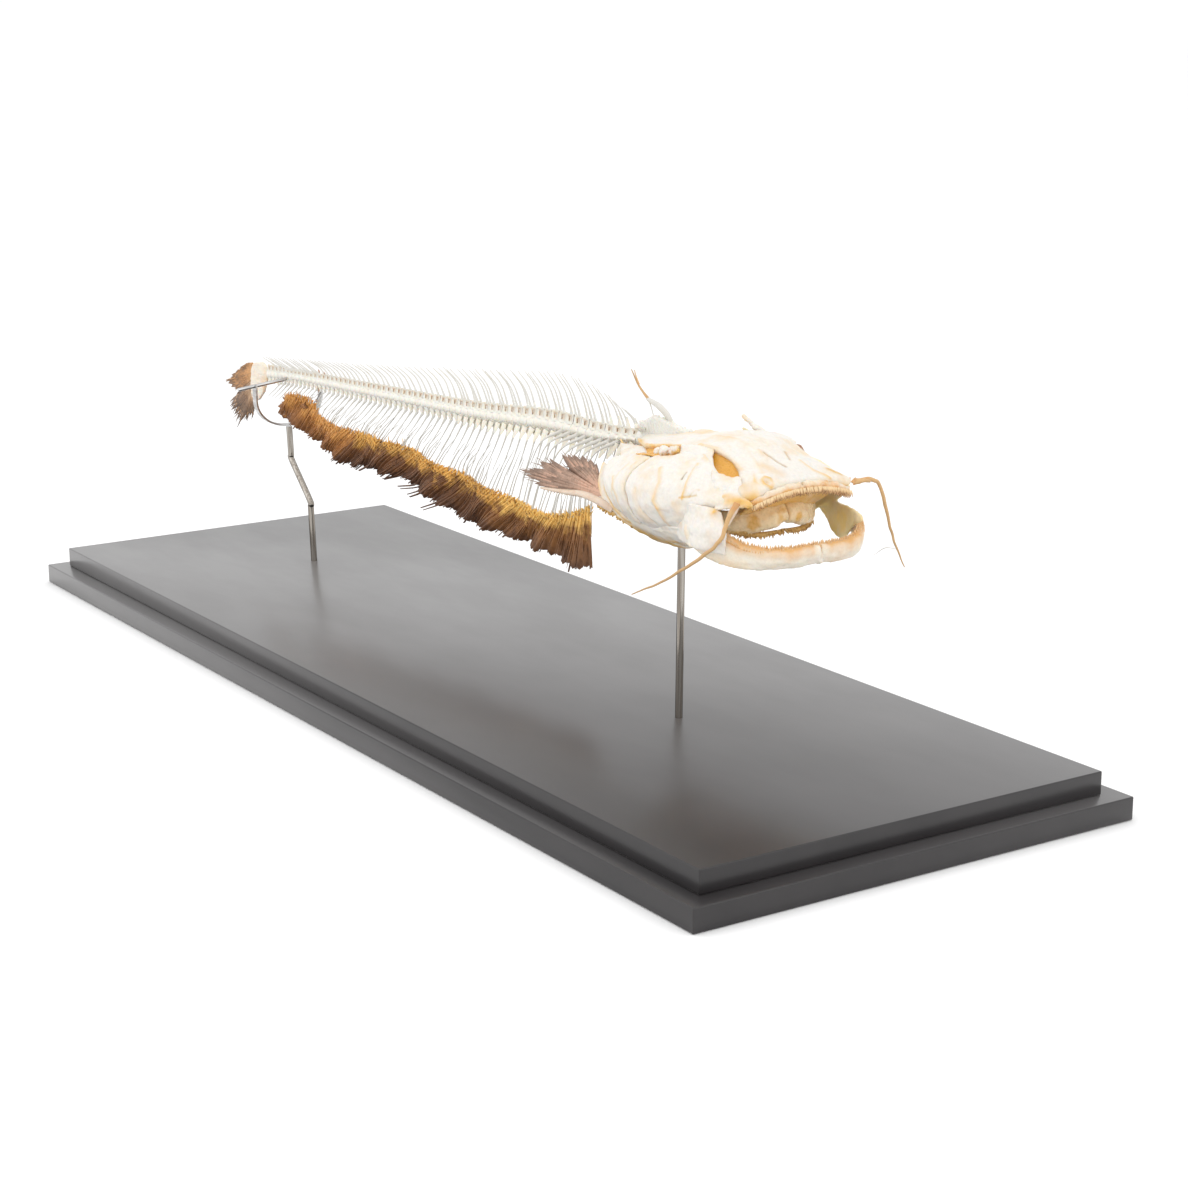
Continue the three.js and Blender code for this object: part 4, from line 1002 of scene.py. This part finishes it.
cheekStrokes = [
    ([(222.7, 44.1, 168.5), (227.3, 47.8, 162.9), (225.7, 50.1, 154.5), (227.4, 49.6, 151.3),
      (228.2, 46.6, 146.7), (227, 36.9, 137.8)], 1.3, 0.8, 0.55, 0),
    ([(227.4, 49.6, 151.3), (238, 48.6, 149), (247, 47, 147), (254, 45.6, 146.1)], 1.1, 0.5, 0.3, 0),
    ([(239.3, 34.1, 172.6), (241.9, 40.7, 167.5), (243.5, 44.1, 163.3), (243.5, 46.3, 158)],
     0.7, 0.7, 0.8, 0),
    ([(241.3, 46.8, 158.1), (247, 45.4, 159.4), (251.4, 43.8, 160.6)], 0.45, -0.3, 0.6, 0.15),
    ([(247, 45.4, 159.4), (250, 42.4, 163), (251.5, 42.2, 163)], 0.45, -0.3, 0.6, 0.1),
    ([(238.5, 40.1, 168.8), (238.5, 43.1, 166.2)], 0.45, -0.6, 0.2, 0.9),
    ([(251.6, 40.4, 149.3), (253, 42, 146)], 3.2, 0.2, 0.55, 0),
    ([(264, 35.3, 160.3), (262, 40, 153), (261.2, 43.8, 145.8)], 1.0, 0.9, 0.35, 0),
    ([(221.2, 37.7, 173), (214, 37.6, 172.4), (207.7, 37.2, 172.1)], 1.4, 0.6, 0.3, 0),
    ([(234, 36, 171.5), (246, 36, 167), (255, 37, 164), (262, 34, 163)], 1.3, 0.6, 0.35, 0),
    ([(212, 51, 158), (214, 50, 148), (220, 44, 139)], 1.2, -0.5, 0.3, 0),
    ([(232, 49, 156), (240, 47.6, 154), (250, 45.4, 154)], 2.2, -0.4, 0.05, 0)]
coverStrokes = [
    ([(206, 40, 171), (205, 46.5, 166.7), (204, 50, 160), (203, 51, 154)], 1.2, -0.6, 0.55, 0),
    ([(188.9, 49.2, 159.3), (190, 50, 155), (192.6, 49.3, 151), (193, 46.1, 143.1)], 1.1, 0.5, 0.5, 0),
    ([(196, 44, 168.5), (192, 49, 160), (188, 50, 152), (188, 45, 140)], 0.9, 0.35, 0.3, 0),
    ([(200, 44, 168), (200, 50, 158), (201, 48, 146), (201, 42, 136)], 1.4, 0.45, 0.25, 0),
    ([(172, 41, 163), (176, 46, 150), (180, 44, 138)], 1.2, 0.3, 0.35, 0)]
girdleStrokes = [
    ([(169, 41.6, 162), (171.2, 45.6, 151), (176.4, 43.6, 142.2), (182.6, 38.4, 135), (186, 31, 129.8)],
     1.3, 0.7, 0.8, 0),
    ([(173, 41.6, 162), (175.6, 45.6, 151), (180.6, 43.6, 142.2), (187, 38.4, 135)], 0.9, 0.5, 0.6, 0),
    ([(186, 31, 129.8), (181, 20, 123.4), (171, 9, 118.8), (160, 0.5, 117.6)], 1.4, 0.3, 0.7, 0.45),
    ([(200, 30, 127), (192, 16, 119.6), (184, 6, 117)], 1.6, 0.4, 0.5, 0.2)]
jawStrokes = [
    ([(289.6, 6, 137.6), (287.6, 17, 137.6), (282.6, 28, 138.4), (276, 34.8, 140.6), (268, 39.6, 144)],
     2.8, 0.2, 1.3, 0.12),
    ([(291, 6, 135), (289, 17.4, 135), (284, 28.8, 135.8), (277.2, 36, 138), (269, 41, 141)],
     1.8, 0.1, 0.55, 0),
    ([(290, 1, 133), (289.6, 10, 132)], 1.2, -0.3, 0.1, 0),
    ([(291, 4, 131.4), (288, 20, 130.4), (280, 32, 131)], 1.6, -0.35, 0.05, 0),
    ([(268, 41, 134), (258, 44, 136), (250, 45, 138)], 2.0, 0.3, 0.15, 0)]
wingStrokes = [
    ([(240, 41, 144), (256, 40, 139), (270, 40, 144), (284, 40, 146)], 8.0, -0.1, 1.4, 0),
    ([(250, 40.6, 136), (259, 40, 132), (264, 40, 136)], 5.0, 0.2, 0.6, 0.55),
    ([(270, 40, 142), (277, 40, 146)], 3.0, 0.2, 0.2, 0.25)]


combTop = [(140.4, 0, 171), (143, 0, 175), (146.6, 0, 174), (151, 0, 177.4), (154, 0, 179.2), (158, 0, 177.6),
           (161, 0, 178.8), (164, 0, 178), (168, 0, 177.6), (172, 0, 176.4), (178, 0, 176), (187, 0, 176)]
combFloor = [(141, 0, 166), (152, 0, 167.4), (164, 0, 169), (178, 0, 171.6), (187, 0, 174)]
plate = {"thickness": 1.4, "voxel": 0.5, "smooth": 5, "swell": 0.2, "relief": 0.5, "lump": 4}
cheekPlates = {
    "cheek_front": {
        "rows": [[(250, -34, 171.3), (256.7, -30.5, 169.4), (264.2, -27, 169.3)],
                 [(256.7, -37.5, 163.3), (265.1, -34, 163.3), (270.1, -30, 163.2)],
                 [(262.7, -40.5, 155.2), (271.4, -36, 157.3), (278.9, -31.4, 158.9)]],
        "relief": 0.6, "seed": 50,
        "strokes": [([(268, 35.5, 159.5), (273, 33.6, 160), (277, 31.6, 159)], 3.0, 0.4, 1.0, 0.06),
                    ([(262, 38, 160), (268, 35.6, 164)], 1.2, 0.5, 0.5, 0)]},
    "jaw_joint": {
        "rows": [[(246.3, -45.2, 156.4), (260, -43, 156.5), (264.9, -38.6, 154.3)],
                 [(230.7, -39.8, 144.4), (253.9, -46.2, 146.4), (271.9, -41.6, 146.1)],
                 [(220.7, -34.8, 135.3), (252.9, -46.2, 135.9), (271, -40.8, 135.2)]],
        "smooth": 7, "lump": 5, "seed": 54,
        "strokes": [([(264, 42, 155), (258, 42.6, 149), (251, 42, 144)], 1.2, 0.9, 0.45, 0),
                    ([(255, 42.6, 154), (259, 42.6, 146), (262, 42, 141)], 1.0, 0.7, 0.35, 0),
                    ([(254, 42.6, 149), (252, 42.6, 145)], 2.2, -0.6, 0.45, 0.02)]},
    "under_cover": {
        "rows": [[(190.3, -43.5, 145.6), (213, -42, 140.7), (241.2, -41, 142.7)],
                 [(190.5, -41, 138.6), (210.6, -39, 135.5), (237.1, -38, 136.6)],
                 [(190.9, -36, 133.5), (205.8, -33, 130.2), (228.7, -32, 131.2)]],
        "thickness": 1.6, "voxel": 0.55, "relief": 0.4, "lump": 5, "streaky": 0.25, "streaks": (7, 1.4, 1.4),
        "seed": 58,
        "strokes": [([(188.5, 37, 135.5), (207.2, 34, 131), (229.5, 32.6, 131.7)], 1.8, 0.3, 0.8, 0.35)]},
    "roof_tie_front": {
        "rows": [[(216.4, -27.3, 177.2), (227.4, -26.2, 178.6), (236.8, -22.6, 177.6)],
                 [(221.7, -31.8, 174.6), (232.1, -29.6, 175.9), (240.4, -26.2, 175.2)],
                 [(227.3, -36.8, 171.8), (237.5, -33.4, 172.3), (248.9, -31, 170.7)]],
        "thickness": 1.3, "relief": 0.4, "seed": 61,
        "strokes": [([(221.7, 31, 177.4), (233.4, 30.5, 179), (241.5, 28.6, 178.6)], 1.0, 0.6, 0.6, 0)]},
    "roof_tie_rear": {
        "rows": [[(134.7, -8, 162.3), (153.1, -13, 165.1), (169.6, -17, 167.4)],
                 [(158.6, -24, 164.5), (173.7, -27, 166.9), (187.2, -28, 169)],
                 [(180.9, -39, 165.4), (192.9, -40, 167.3), (206.5, -39.4, 169.7)]],
        "thickness": 1.3, "seed": 64, "strokes": []}}
# The side, -1 on the right and 1 on the left, is added to a seed and turns the sideways part of a shift.
pairedBones = {
    "cheek": {"voxel": 0.6, "smooth": 10, "swell": 0.3, "relief": 0.5, "lump": 8, "streaky": 0.2,
              "streaks": (2, 2, 5), "seed": 6, "strokes": cheekStrokes},
    "gill_cover": {"voxel": 0.55, "smooth": 8, "swell": 0.3, "relief": 0.4, "streaky": 0.22,
                   "streaks": (2, 2, 6), "seed": 9, "strokes": coverStrokes},
    "gill_rays": {"voxel": 0.5, "smooth": 4, "swell": 0.25, "relief": 0.3, "streaky": 0.25,
                  "streaks": (7, 1.4, 1.4), "under": 0.4, "seed": 12, "shift": (0, 0.5, 2.8)},
    "girdle": {"node": "shoulder_girdle", "voxel": 0.55, "swell": 0.2, "under": 0.75, "seed": 15,
               "strokes": girdleStrokes},
    "upper_jaw": {"voxel": 0.42, "smooth": 5, "swell": 0.2, "lump": 3, "under": 0.8, "blotches": 0.6,
                  "blotchSize": 7, "seed": 18, "shift": (-4.0, 0, -0.8)},
    "lower_jaw": {"voxel": 0.5, "smooth": 8, "swell": 0.2, "relief": 0.35, "lump": 6, "streaky": 0.2,
                  "streaks": (3, 5, 1.2), "seed": 21, "strokes": jawStrokes}}


def buildHead():
    growBone("skull_roof", ["neurocranium"], "skullBone", {
        "voxel": 0.66, "smooth": 12, "relief": 0.55, "lump": 9, "streaky": 0.16, "streaks": (7, 1.4, 3),
        "under": 0.5, "seed": 2}, skullStrokes)
    growBone("first_vertebrae", ["front_vertebrae"], "crestBone", {
        "voxel": 0.4, "smooth": 4, "relief": 0.1, "streaky": 0.2, "streaks": (1, 1, 6),
        "slot": "vertebrae", "seed": 4})
    for half, side in bothHalves:
        for bone, settings in pairedBones.items():
            node = settings.get("node", bone) + "_" + half
            look = "jawBone" if "jaw" in bone else "skullBone"
            strokes = bothSides(settings.get("strokes", []), side)
            own = {**settings, "seed": settings["seed"] + side}
            if "shift" in settings:
                own["shift"] = np.array(settings["shift"]) * (1, side, 1)
            if node == "cheek_left":
                look, own["droop"] = "oliveBone", (152, 0.22)
                strokes += wingStrokes
            growBone(bone + "_" + half + "_bone", [node], look, own, strokes)
    growBone("tail_base_bone", ["tail_plate"], "jawBone", {
        "voxel": 0.4, "smooth": 5, "relief": 0.2, "lump": 4, "streaky": 0.3, "streaks": (6, 1, 1.2),
        "slot": "vertebrae", "blotches": 0.4, "seed": 30})
    for name, settings in cheekPlates.items():
        def face(u, v):
            return spotAt([spotAt(row, u) for row in settings["rows"]], v)

        own = {**plate, **settings}
        refineBone(laySheet(face, 24, 18, own["thickness"]), name + "_right", ["cheek_right"],
                   "skullBone", own, bothSides(own["strokes"], -1))

    def comb(u, v):
        top, low = spotAt(combTop, u), spotAt(combFloor, u)
        top = top + (0, 0, 0.6 + 1.1 * noise.noise((u * 26, 2.2, 0)) + 0.8 * noise.noise((u * 70, 5.2, 0)))
        return mix(low, top, v) + (0, 0.6 * math.sin(u * 110 + 3 * v) * (0.4 + v), 0)

    refineBone(laySheet(comb, 140, 10, 2.4), "crest_comb", ["neurocranium"], "crestBone", {
        "voxel": 0.34, "smooth": 1, "swell": 0.05, "relief": 0.15, "ridgeStain": 0.1, "hollowStain": 0.2,
        "blotches": 0.2, "seed": 44})


archLine = [(224, 29, 147.6), (237, 27.4, 146), (249, 25, 144.8), (255, 20, 144.8), (259.4, 13.6, 145.8),
            (261.8, 6.4, 147.6), (262.4, 0.2, 148.4)]
rakers = {"count": 60, "upper": 26}
rakerLine = [(247, 26, 141.6), (255, 20, 139.8), (260, 12.4, 139.2), (262.4, 5, 139.8), (262.8, 0.2, 140.6)]


def buildThroat():
    form = modelRod(20, 40)
    rng = random.Random(17)
    for half, side in bothHalves:
        turn = np.array((1, side, 1))
        arch = np.array(archLine) * turn
        rod = rodPiece(form, (arch + (0, 0, 1.0), [1.8, 2.4, 3, 3.8, 4.2, 4.4, 4.2],
                              [2.4, 3.2, 4.6, 5.8, 6.4, 6.4, 5.6]))
        refineBone(rod, "hyoid_" + half + "_bone", ["hyoid_arch_" + half], "archBone", {
            "voxel": 0.5, "smooth": 9, "swell": 0.1, "relief": 0.9, "lump": 7, "blotches": 0.8,
            "blotchSize": 9, "slot": "amber", "seed": 24 + side},
            [(np.array([(240, 28, 147), (252, 22.6, 146.6), (262, 8, 150)]) * turn, 3.0, 0.3, -0.4, 0),
             (np.array([(262, 0, 143.6), (258, 14, 141.6), (250, 24, 141)]) * turn, 2.2, 0.2, 0.7, 0.1)])
        heap = newHeap()
        line = np.array(rakerLine) * turn
        layRod(heap, form, line, [0.7, 1.1, 1.2, 1.0, 0.6], [0.9, 1.2, 1.3, 1.1, 0.7], tone=0.4)
        for k in range(rakers["count"]):
            share = 0.04 + 0.94 * (k + rng.uniform(0.2, 0.8)) / rakers["count"]
            root = spotAt(line, share) + (0, 0, rng.uniform(-0.8, 0.6))
            tip = root + (rng.uniform(0.6, 2.0), side * rng.uniform(0.2, 1.2), -rng.uniform(0.4, 2.0))
            layTooth(heap, root, tip, [0.6, 0.45, 0.16], (0.3, 0, 0), tone=rng.random())
        for k in range(rakers["upper"]):
            root = spotAt(arch, 0.3 + 0.45 * k / rakers["upper"]) + (1.5, side, -3.6)
            tip = root + (rng.uniform(0, 1.2), side * rng.uniform(0, 1), -rng.uniform(0.8, 2.4))
            layTooth(heap, root, tip, [0.7, 0.5, 0.2], tone=rng.random())
        finishPiece(pieceFrom(heap), "gill_rakers_" + half, "rakerSkin", ["hyoid_arch_" + half])

    def vault(u, v):
        y = mix(-25, 22, u)
        front = upperLine(y) + (-2.6, 0, -1.4)
        back = np.array((262 - 0.006 * y**2, y * 0.92, 152.4 - 0.004 * y**2))
        bump = 1.1 * noise.noise((u * 9, v * 3, 1.7))
        bow = math.sin(math.pi * v)
        return mix(front, back, v) + np.array((-1.6 * bow + bump, 0, -0.8 * bow))

    edge = np.array([upperLine(y) for y in np.linspace(-29, 29, 15)])
    lip = rodPiece(form, (edge + (-1.2, 0, -0.9), [1.8, 2.4, 2.5, 2.4, 1.8]))
    refineBone(lip, "upper_lip", ["upper_jaw_right", "upper_jaw_left"], "jawBone", {
        "voxel": 0.5, "smooth": 5, "swell": 0.1, "relief": 0.8, "lump": 3, "blotches": 0.7, "seed": 71},
        [(edge + (1.4, 0, -2.2), 2.6, 0.0, 0.85, 0.05)])
    finishPiece(laySheet(vault, 70, 16, 1.0), "palate_skin", "palateSkin", ["neurocranium"])


def addBlob(centre, size, turn=0.0):
    deselectAll()
    bpy.ops.mesh.primitive_ico_sphere_add(subdivisions=4, radius=1, location=[c * mm for c in centre],
                                          rotation=(0, turn, 0))
    blob = bpy.context.object
    blob.scale = [c * mm for c in size]
    applyPlace(blob)
    return blob


def buildLooseParts():
    blobs = [addBlob((209.3, -33, 173.8), (3.6, 1.8, 2.6)),
             addBlob((217.7, -33, 175.6), (3.4, 1.6, 2.4), -0.3),
             addBlob((201.1, -31, 171.8), (2.8, 1.6, 2.2), 0.4)]
    refineBone(joinPieces(blobs), "ear_bones_right", ["neurocranium"], "skullBone", {
        "voxel": 0.4, "smooth": 3, "swell": 0.1, "relief": 0.8, "lump": 2.4, "blotches": 0.8, "blotchSize": 4,
        "seed": 40})
    splint = [(222, 37, 171.4), (211, 35, 172.6), (201.6, 32.8, 174.4), (186.2, 31.8, 181.5)]
    temple = rodPiece(rodFine, (splint, [1.6, 1.9, 1.6, 0.8], [2.0, 2.6, 2.0, 0.9]))
    refineBone(temple, "temple_bone_left", ["cheek_left"], "skullBone", {
        "voxel": 0.4, "smooth": 3, "swell": 0.1, "relief": 0.5, "lump": 3, "seed": 42})
    refineBone(addBlob((289.6, 0, 133.6), (2.4, 3.6, 4.6)), "jaw_middle", ["lower_jaw_right"], "jawBone", {
        "voxel": 0.5, "smooth": 3, "swell": 0.1, "relief": 0.5, "lump": 3, "seed": 43},
        [([(291, -3, 137), (291, 3, 137)], 2.0, 0.2, 0.8, 0)])
    rim = rodPiece(rodFine, ([(236.2, 26, 174.6), (241, 26, 173.6), (246, 26, 170.2)],
                             [0.4, 0.7, 0.4], [0.5, 2.0, 0.6]),
                   ([(226, 24, 178), (232, 25, 176.6), (238, 26, 174)], [0.3, 0.5, 0.3], [0.4, 1.6, 0.6]))
    finishPiece(rim, "orbit_rim_left", "greyRays", ["neurocranium"])
    clip = rodPiece(rodFine, ([(-219.5, 0.4, 139.8), (-226.6, 1.2, 134), (-232, 0.4, 129)], [0.4, 0.4]),
                    ([(-225, 1.6, 140.4), (-227, 1.8, 135.4), (-229.6, 1.0, 130)], [0.4, 0.4]))
    finishPiece(clip, "wire_clip", "strapSteel", ["tail_cradle"])
    ends = [((-227, 1, 140), (-222.6, 1, 137), 1.0), ((-223.4, 0, 152.2), (-220.8, 0, 150.2), 0.6),
            ((-215.4, 0, 151.8), (-213, 0, 149.6), 0.5), ((-230, 1, 132), (-228, 1, 130.6), 0.7)]
    wires = rodPiece(rodFine, *[([a, b], [wide * 0.3, wide, wide * 0.3]) for a, b, wide in ends])
    finishPiece(wires, "wire_ends", "greyRays", ["tail_cradle"])
    heap = newHeap()
    layRod(heap, rodFine, [(130, -5.2, 163.8), (134.4, -6, 162), (138.6, -7.4, 163.6)], [0.4, 0.7, 0.4])
    rng = random.Random(31)
    for half in (-1, 1):
        for k in range(46):
            root = spotAt([(172, 46, 142), (179, 43, 139), (186, 35, 133)], rng.random()) * (1, half, 1)
            tip = root + (rng.uniform(-2.4, 1), half * rng.uniform(-0.6, 0.8), -rng.uniform(0.4, 2.4))
            layTooth(heap, root, tip, [0.9, 0.7, 0.25], (0, half * 0.4, 0), tone=rng.random())
    finishPiece(pieceFrom(heap), "dried_sinews", "rakerSkin", ["shoulder_girdle_right"])


toothRows = {"upper": (84, 3), "lower": (110, 4)}


def upperLine(y):
    s = abs(y) / 31
    return np.array((277.7 - 1.6 * s**2, y, 164.8 - 6 * s**2))


lowerLine = [(290.2, 0, 138.9), (289.6, 10, 138.5), (287, 20, 138.3), (282.6, 29, 138.9), (276, 35.8, 141),
             (269, 40, 144.6)]


def buildTeeth():
    rng = random.Random(3)
    for half, side in bothHalves:
        upper, lower = newHeap(), newHeap()
        count, rows = toothRows["upper"]
        for k in range(count // 2):
            for row in range(rows):
                y = side * (0.4 + 28.2 * (k + rng.uniform(0.1, 0.9)) / (count // 2))
                root = upperLine(y) + (1.2 - 1.2 * row + rng.uniform(-0.3, 0.3), 0, -0.9 - 0.7 * row)
                lean = (0.9 - 0.3 * row + rng.uniform(-0.3, 0.3), rng.uniform(-0.3, 0.3),
                        -rng.uniform(2.0, 3.2))
                layTooth(upper, root, root + lean, [0.5, 0.36, 0.12], (0.3, 0, 0), tone=rng.random())
        count, rows = toothRows["lower"]
        for k in range(count // 2):
            for row in range(rows):
                t = (k + rng.uniform(0.1, 0.9)) / (count // 2)
                inward = np.array((-0.6, -0.8 * side * min(t * 2, 1), 0))
                spot = spotAt(lowerLine, t) * (1, side, 1)
                root = spot + inward * (row * 1.0 - 2.0) + (0, 0, -2.0 + 0.6 * row)
                tip = (root + inward * rng.uniform(0.0, 0.6)
                       + (rng.uniform(-0.25, 0.25), 0, rng.uniform(1.3, 2.3)))
                layTooth(lower, root, tip, [0.5, 0.38, 0.12], tone=rng.random())
        for name, heap in (("upper", upper), ("lower", lower)):
            finishPiece(pieceFrom(heap), name + "_teeth_" + half, name + "Teeth",
                        [name + "_jaw_" + half])


# Dried skin in the openings between the skull roof and the cheeks.
def buildSkins():
    upperEdge = [(156, 9, 167.4), (170, 16, 169.4), (182, 22, 170.8), (195, 25.4, 173.2), (210, 26, 175.6),
                 (222, 25.6, 177.2), (233, 22.6, 178), (245, 19.6, 176), (254, 19.8, 172.4), (262, 24, 168)]
    lowerEdge = [(160, 26, 160), (172, 31, 165), (184, 33.6, 168.2), (197, 35.6, 170.2), (211, 36.4, 171.4),
                 (222, 36.2, 171.6), (233, 34.8, 170), (244, 34.4, 167), (254, 34.6, 163.6), (262, 32.6, 161)]
    for half, side in bothHalves:
        def skin(u, v):
            top, low = spotAt(upperEdge, u), spotAt(lowerEdge, u)
            spot = mix(top, low, v) - np.array((0, 1.4, 1.0)) * math.sin(math.pi * v)
            spot -= np.array((0, 3, 5)) * (side > 0)
            spot += 0.5 * np.array((0, 1, 1)) * noise.noise((spot[0] * 0.3, spot[1] * 0.3, spot[2] * 0.3))
            return spot * (1, side, 1)

        web = laySheet(skin, 90, 14, 0.5)
        finishPiece(web, "eye_skin_" + half, "amberSkin", ["neurocranium"])


feelers = {
    "right": [(272.6, -35.4, 159.6), (272.4, -40, 153.2), (271.8, -44, 143.5), (264.9, -47, 135.8),
              (252, -51, 126), (237, -55, 116.6), (221.4, -60, 108.5)],
    "left": [(271.6, 35.4, 161.6), (274.6, 42, 162.2), (276.4, 47, 159.6), (278.3, 50, 147.3),
             (280.5, 53, 133.4), (284.9, 57, 118.9)]}
shreds = [([(271.4, 34.4, 160.8), (271.6, 35.4, 162.4), (271.8, 36, 163.4)], [1.1, 0.7, 0.25]),
          ([(270.4, 33, 161), (269.8, 33.8, 162.4), (269.6, 34.4, 163.2)], [0.9, 0.6, 0.25]),
          ([(271.4, 34.6, 161), (274, 38.6, 162), (275.6, 42, 161.6)], [1.4, 1.1, 0.8])]


def buildFeelers():
    form = modelRod(12, 64)
    rng = random.Random(9)
    for half, points in feelers.items():
        path = pathAt(points, np.linspace(0, 1, 24))
        path[1:] += np.array([(rng.uniform(-0.25, 0.25), rng.uniform(-0.25, 0.25), rng.uniform(-0.3, 0.3))
                              for k in range(23)])
        heap = newHeap()
        layRod(heap, form, path, [1.6, 1.2, 1.1, 0.95, 0.85, 0.9, 0.75, 0.65, 0.5, 0.25], tone=0.4)
        for shred in shreds if half == "left" else []:
            layRod(heap, rodFine, *shred)
        finishPiece(pieceFrom(heap), "barbel_" + half + "_skin", "barbelSkin", ["barbel_" + half])
    base = rodPiece(
        rodFine,
        ([(272.2, -33.6, 159.6), (272.6, -37, 155.4), (272.5, -41.4, 149.4)], [1.0, 1.2, 0.9]),
        ([(269.4, -34.6, 159.4), (270.6, -38, 154.6), (271.8, -42.4, 147.4)], [0.9, 1.1, 0.7]))
    finishPiece(base, "barbel_base", "spineStiff", ["barbel_right"])
    hair = rodPiece(rodFine, ([(261.8, 57, 120.1), (270, 57, 125.3), (279, 57, 126.6)], [0.12, 0.2, 0.12]))
    finishPiece(hair, "barbel_hair", "thinBone", ["barbel_left"])


def buildStudio():
    deselectAll()
    bpy.ops.mesh.primitive_plane_add(size=14, location=(0, 0, -0.0002))
    floor = bpy.context.object
    floor.name = "floor"
    floor.data.materials.append(looks["floorWhite"])
    applyPlace(floor)
    world = bpy.data.worlds.new("paleRoom")
    world.use_nodes = True
    light = world.node_tree.nodes["Background"].inputs
    light["Color"].default_value = white
    light["Strength"].default_value = 1.03
    bpy.context.scene.world = world
    softBoxes = [
        ("softAbove", (0.1, -0.3, 1.6), (0, 0, 0), 1.6, 5),
        ("softLeft", (-0.6, -1.7, 1.0), (0, 0, 0.1), 1.2, 4),
        ("softRight", (1.9, 0.6, 1.1), (0, 0, 0.1), 1.0, 3),
    ]
    for name, place, target, size, power in softBoxes:
        bpy.ops.object.light_add(type="AREA", location=place)
        lamp = bpy.context.object
        lamp.name = name
        lamp.data.shape = "SQUARE"
        lamp.data.size = size
        lamp.data.energy = power
        aim = Vector(target) - Vector(place)
        lamp.rotation_euler = aim.to_track_quat("-Z", "Y").to_euler()


camera = {"place": (1.18189, -0.71095, 0.40886), "turn": 56.7787, "height": 14.5105,
          "roll": -0.2188, "lens": 75.17}


def buildCamera():
    turn = Matrix.Rotation(math.radians(camera["turn"]), 4, "Z")
    tip = Matrix.Rotation(math.radians(90 - camera["height"]), 4, "X")
    roll = Matrix.Rotation(math.radians(camera["roll"]), 4, "Z")
    bpy.ops.object.camera_add()
    eye = bpy.context.object
    eye.matrix_world = Matrix.Translation(camera["place"]) @ turn @ tip @ roll
    eye.data.lens = camera["lens"]
    eye.data.sensor_width = 36
    bpy.context.scene.camera = eye


buildBoards()
buildRods()
buildCradle()
print("stand built")
buildColumn()
print("column built")
buildAnalFin()
buildTail()
buildPectorals()
buildDorsal()
print("fins built")
buildHead()
print("head bones grown")
buildTeeth()
buildSkins()
buildThroat()
buildLooseParts()
buildFeelers()
print("head finished")
buildStudio()
buildCamera()
bpy.context.scene.view_settings.view_transform = "Standard"
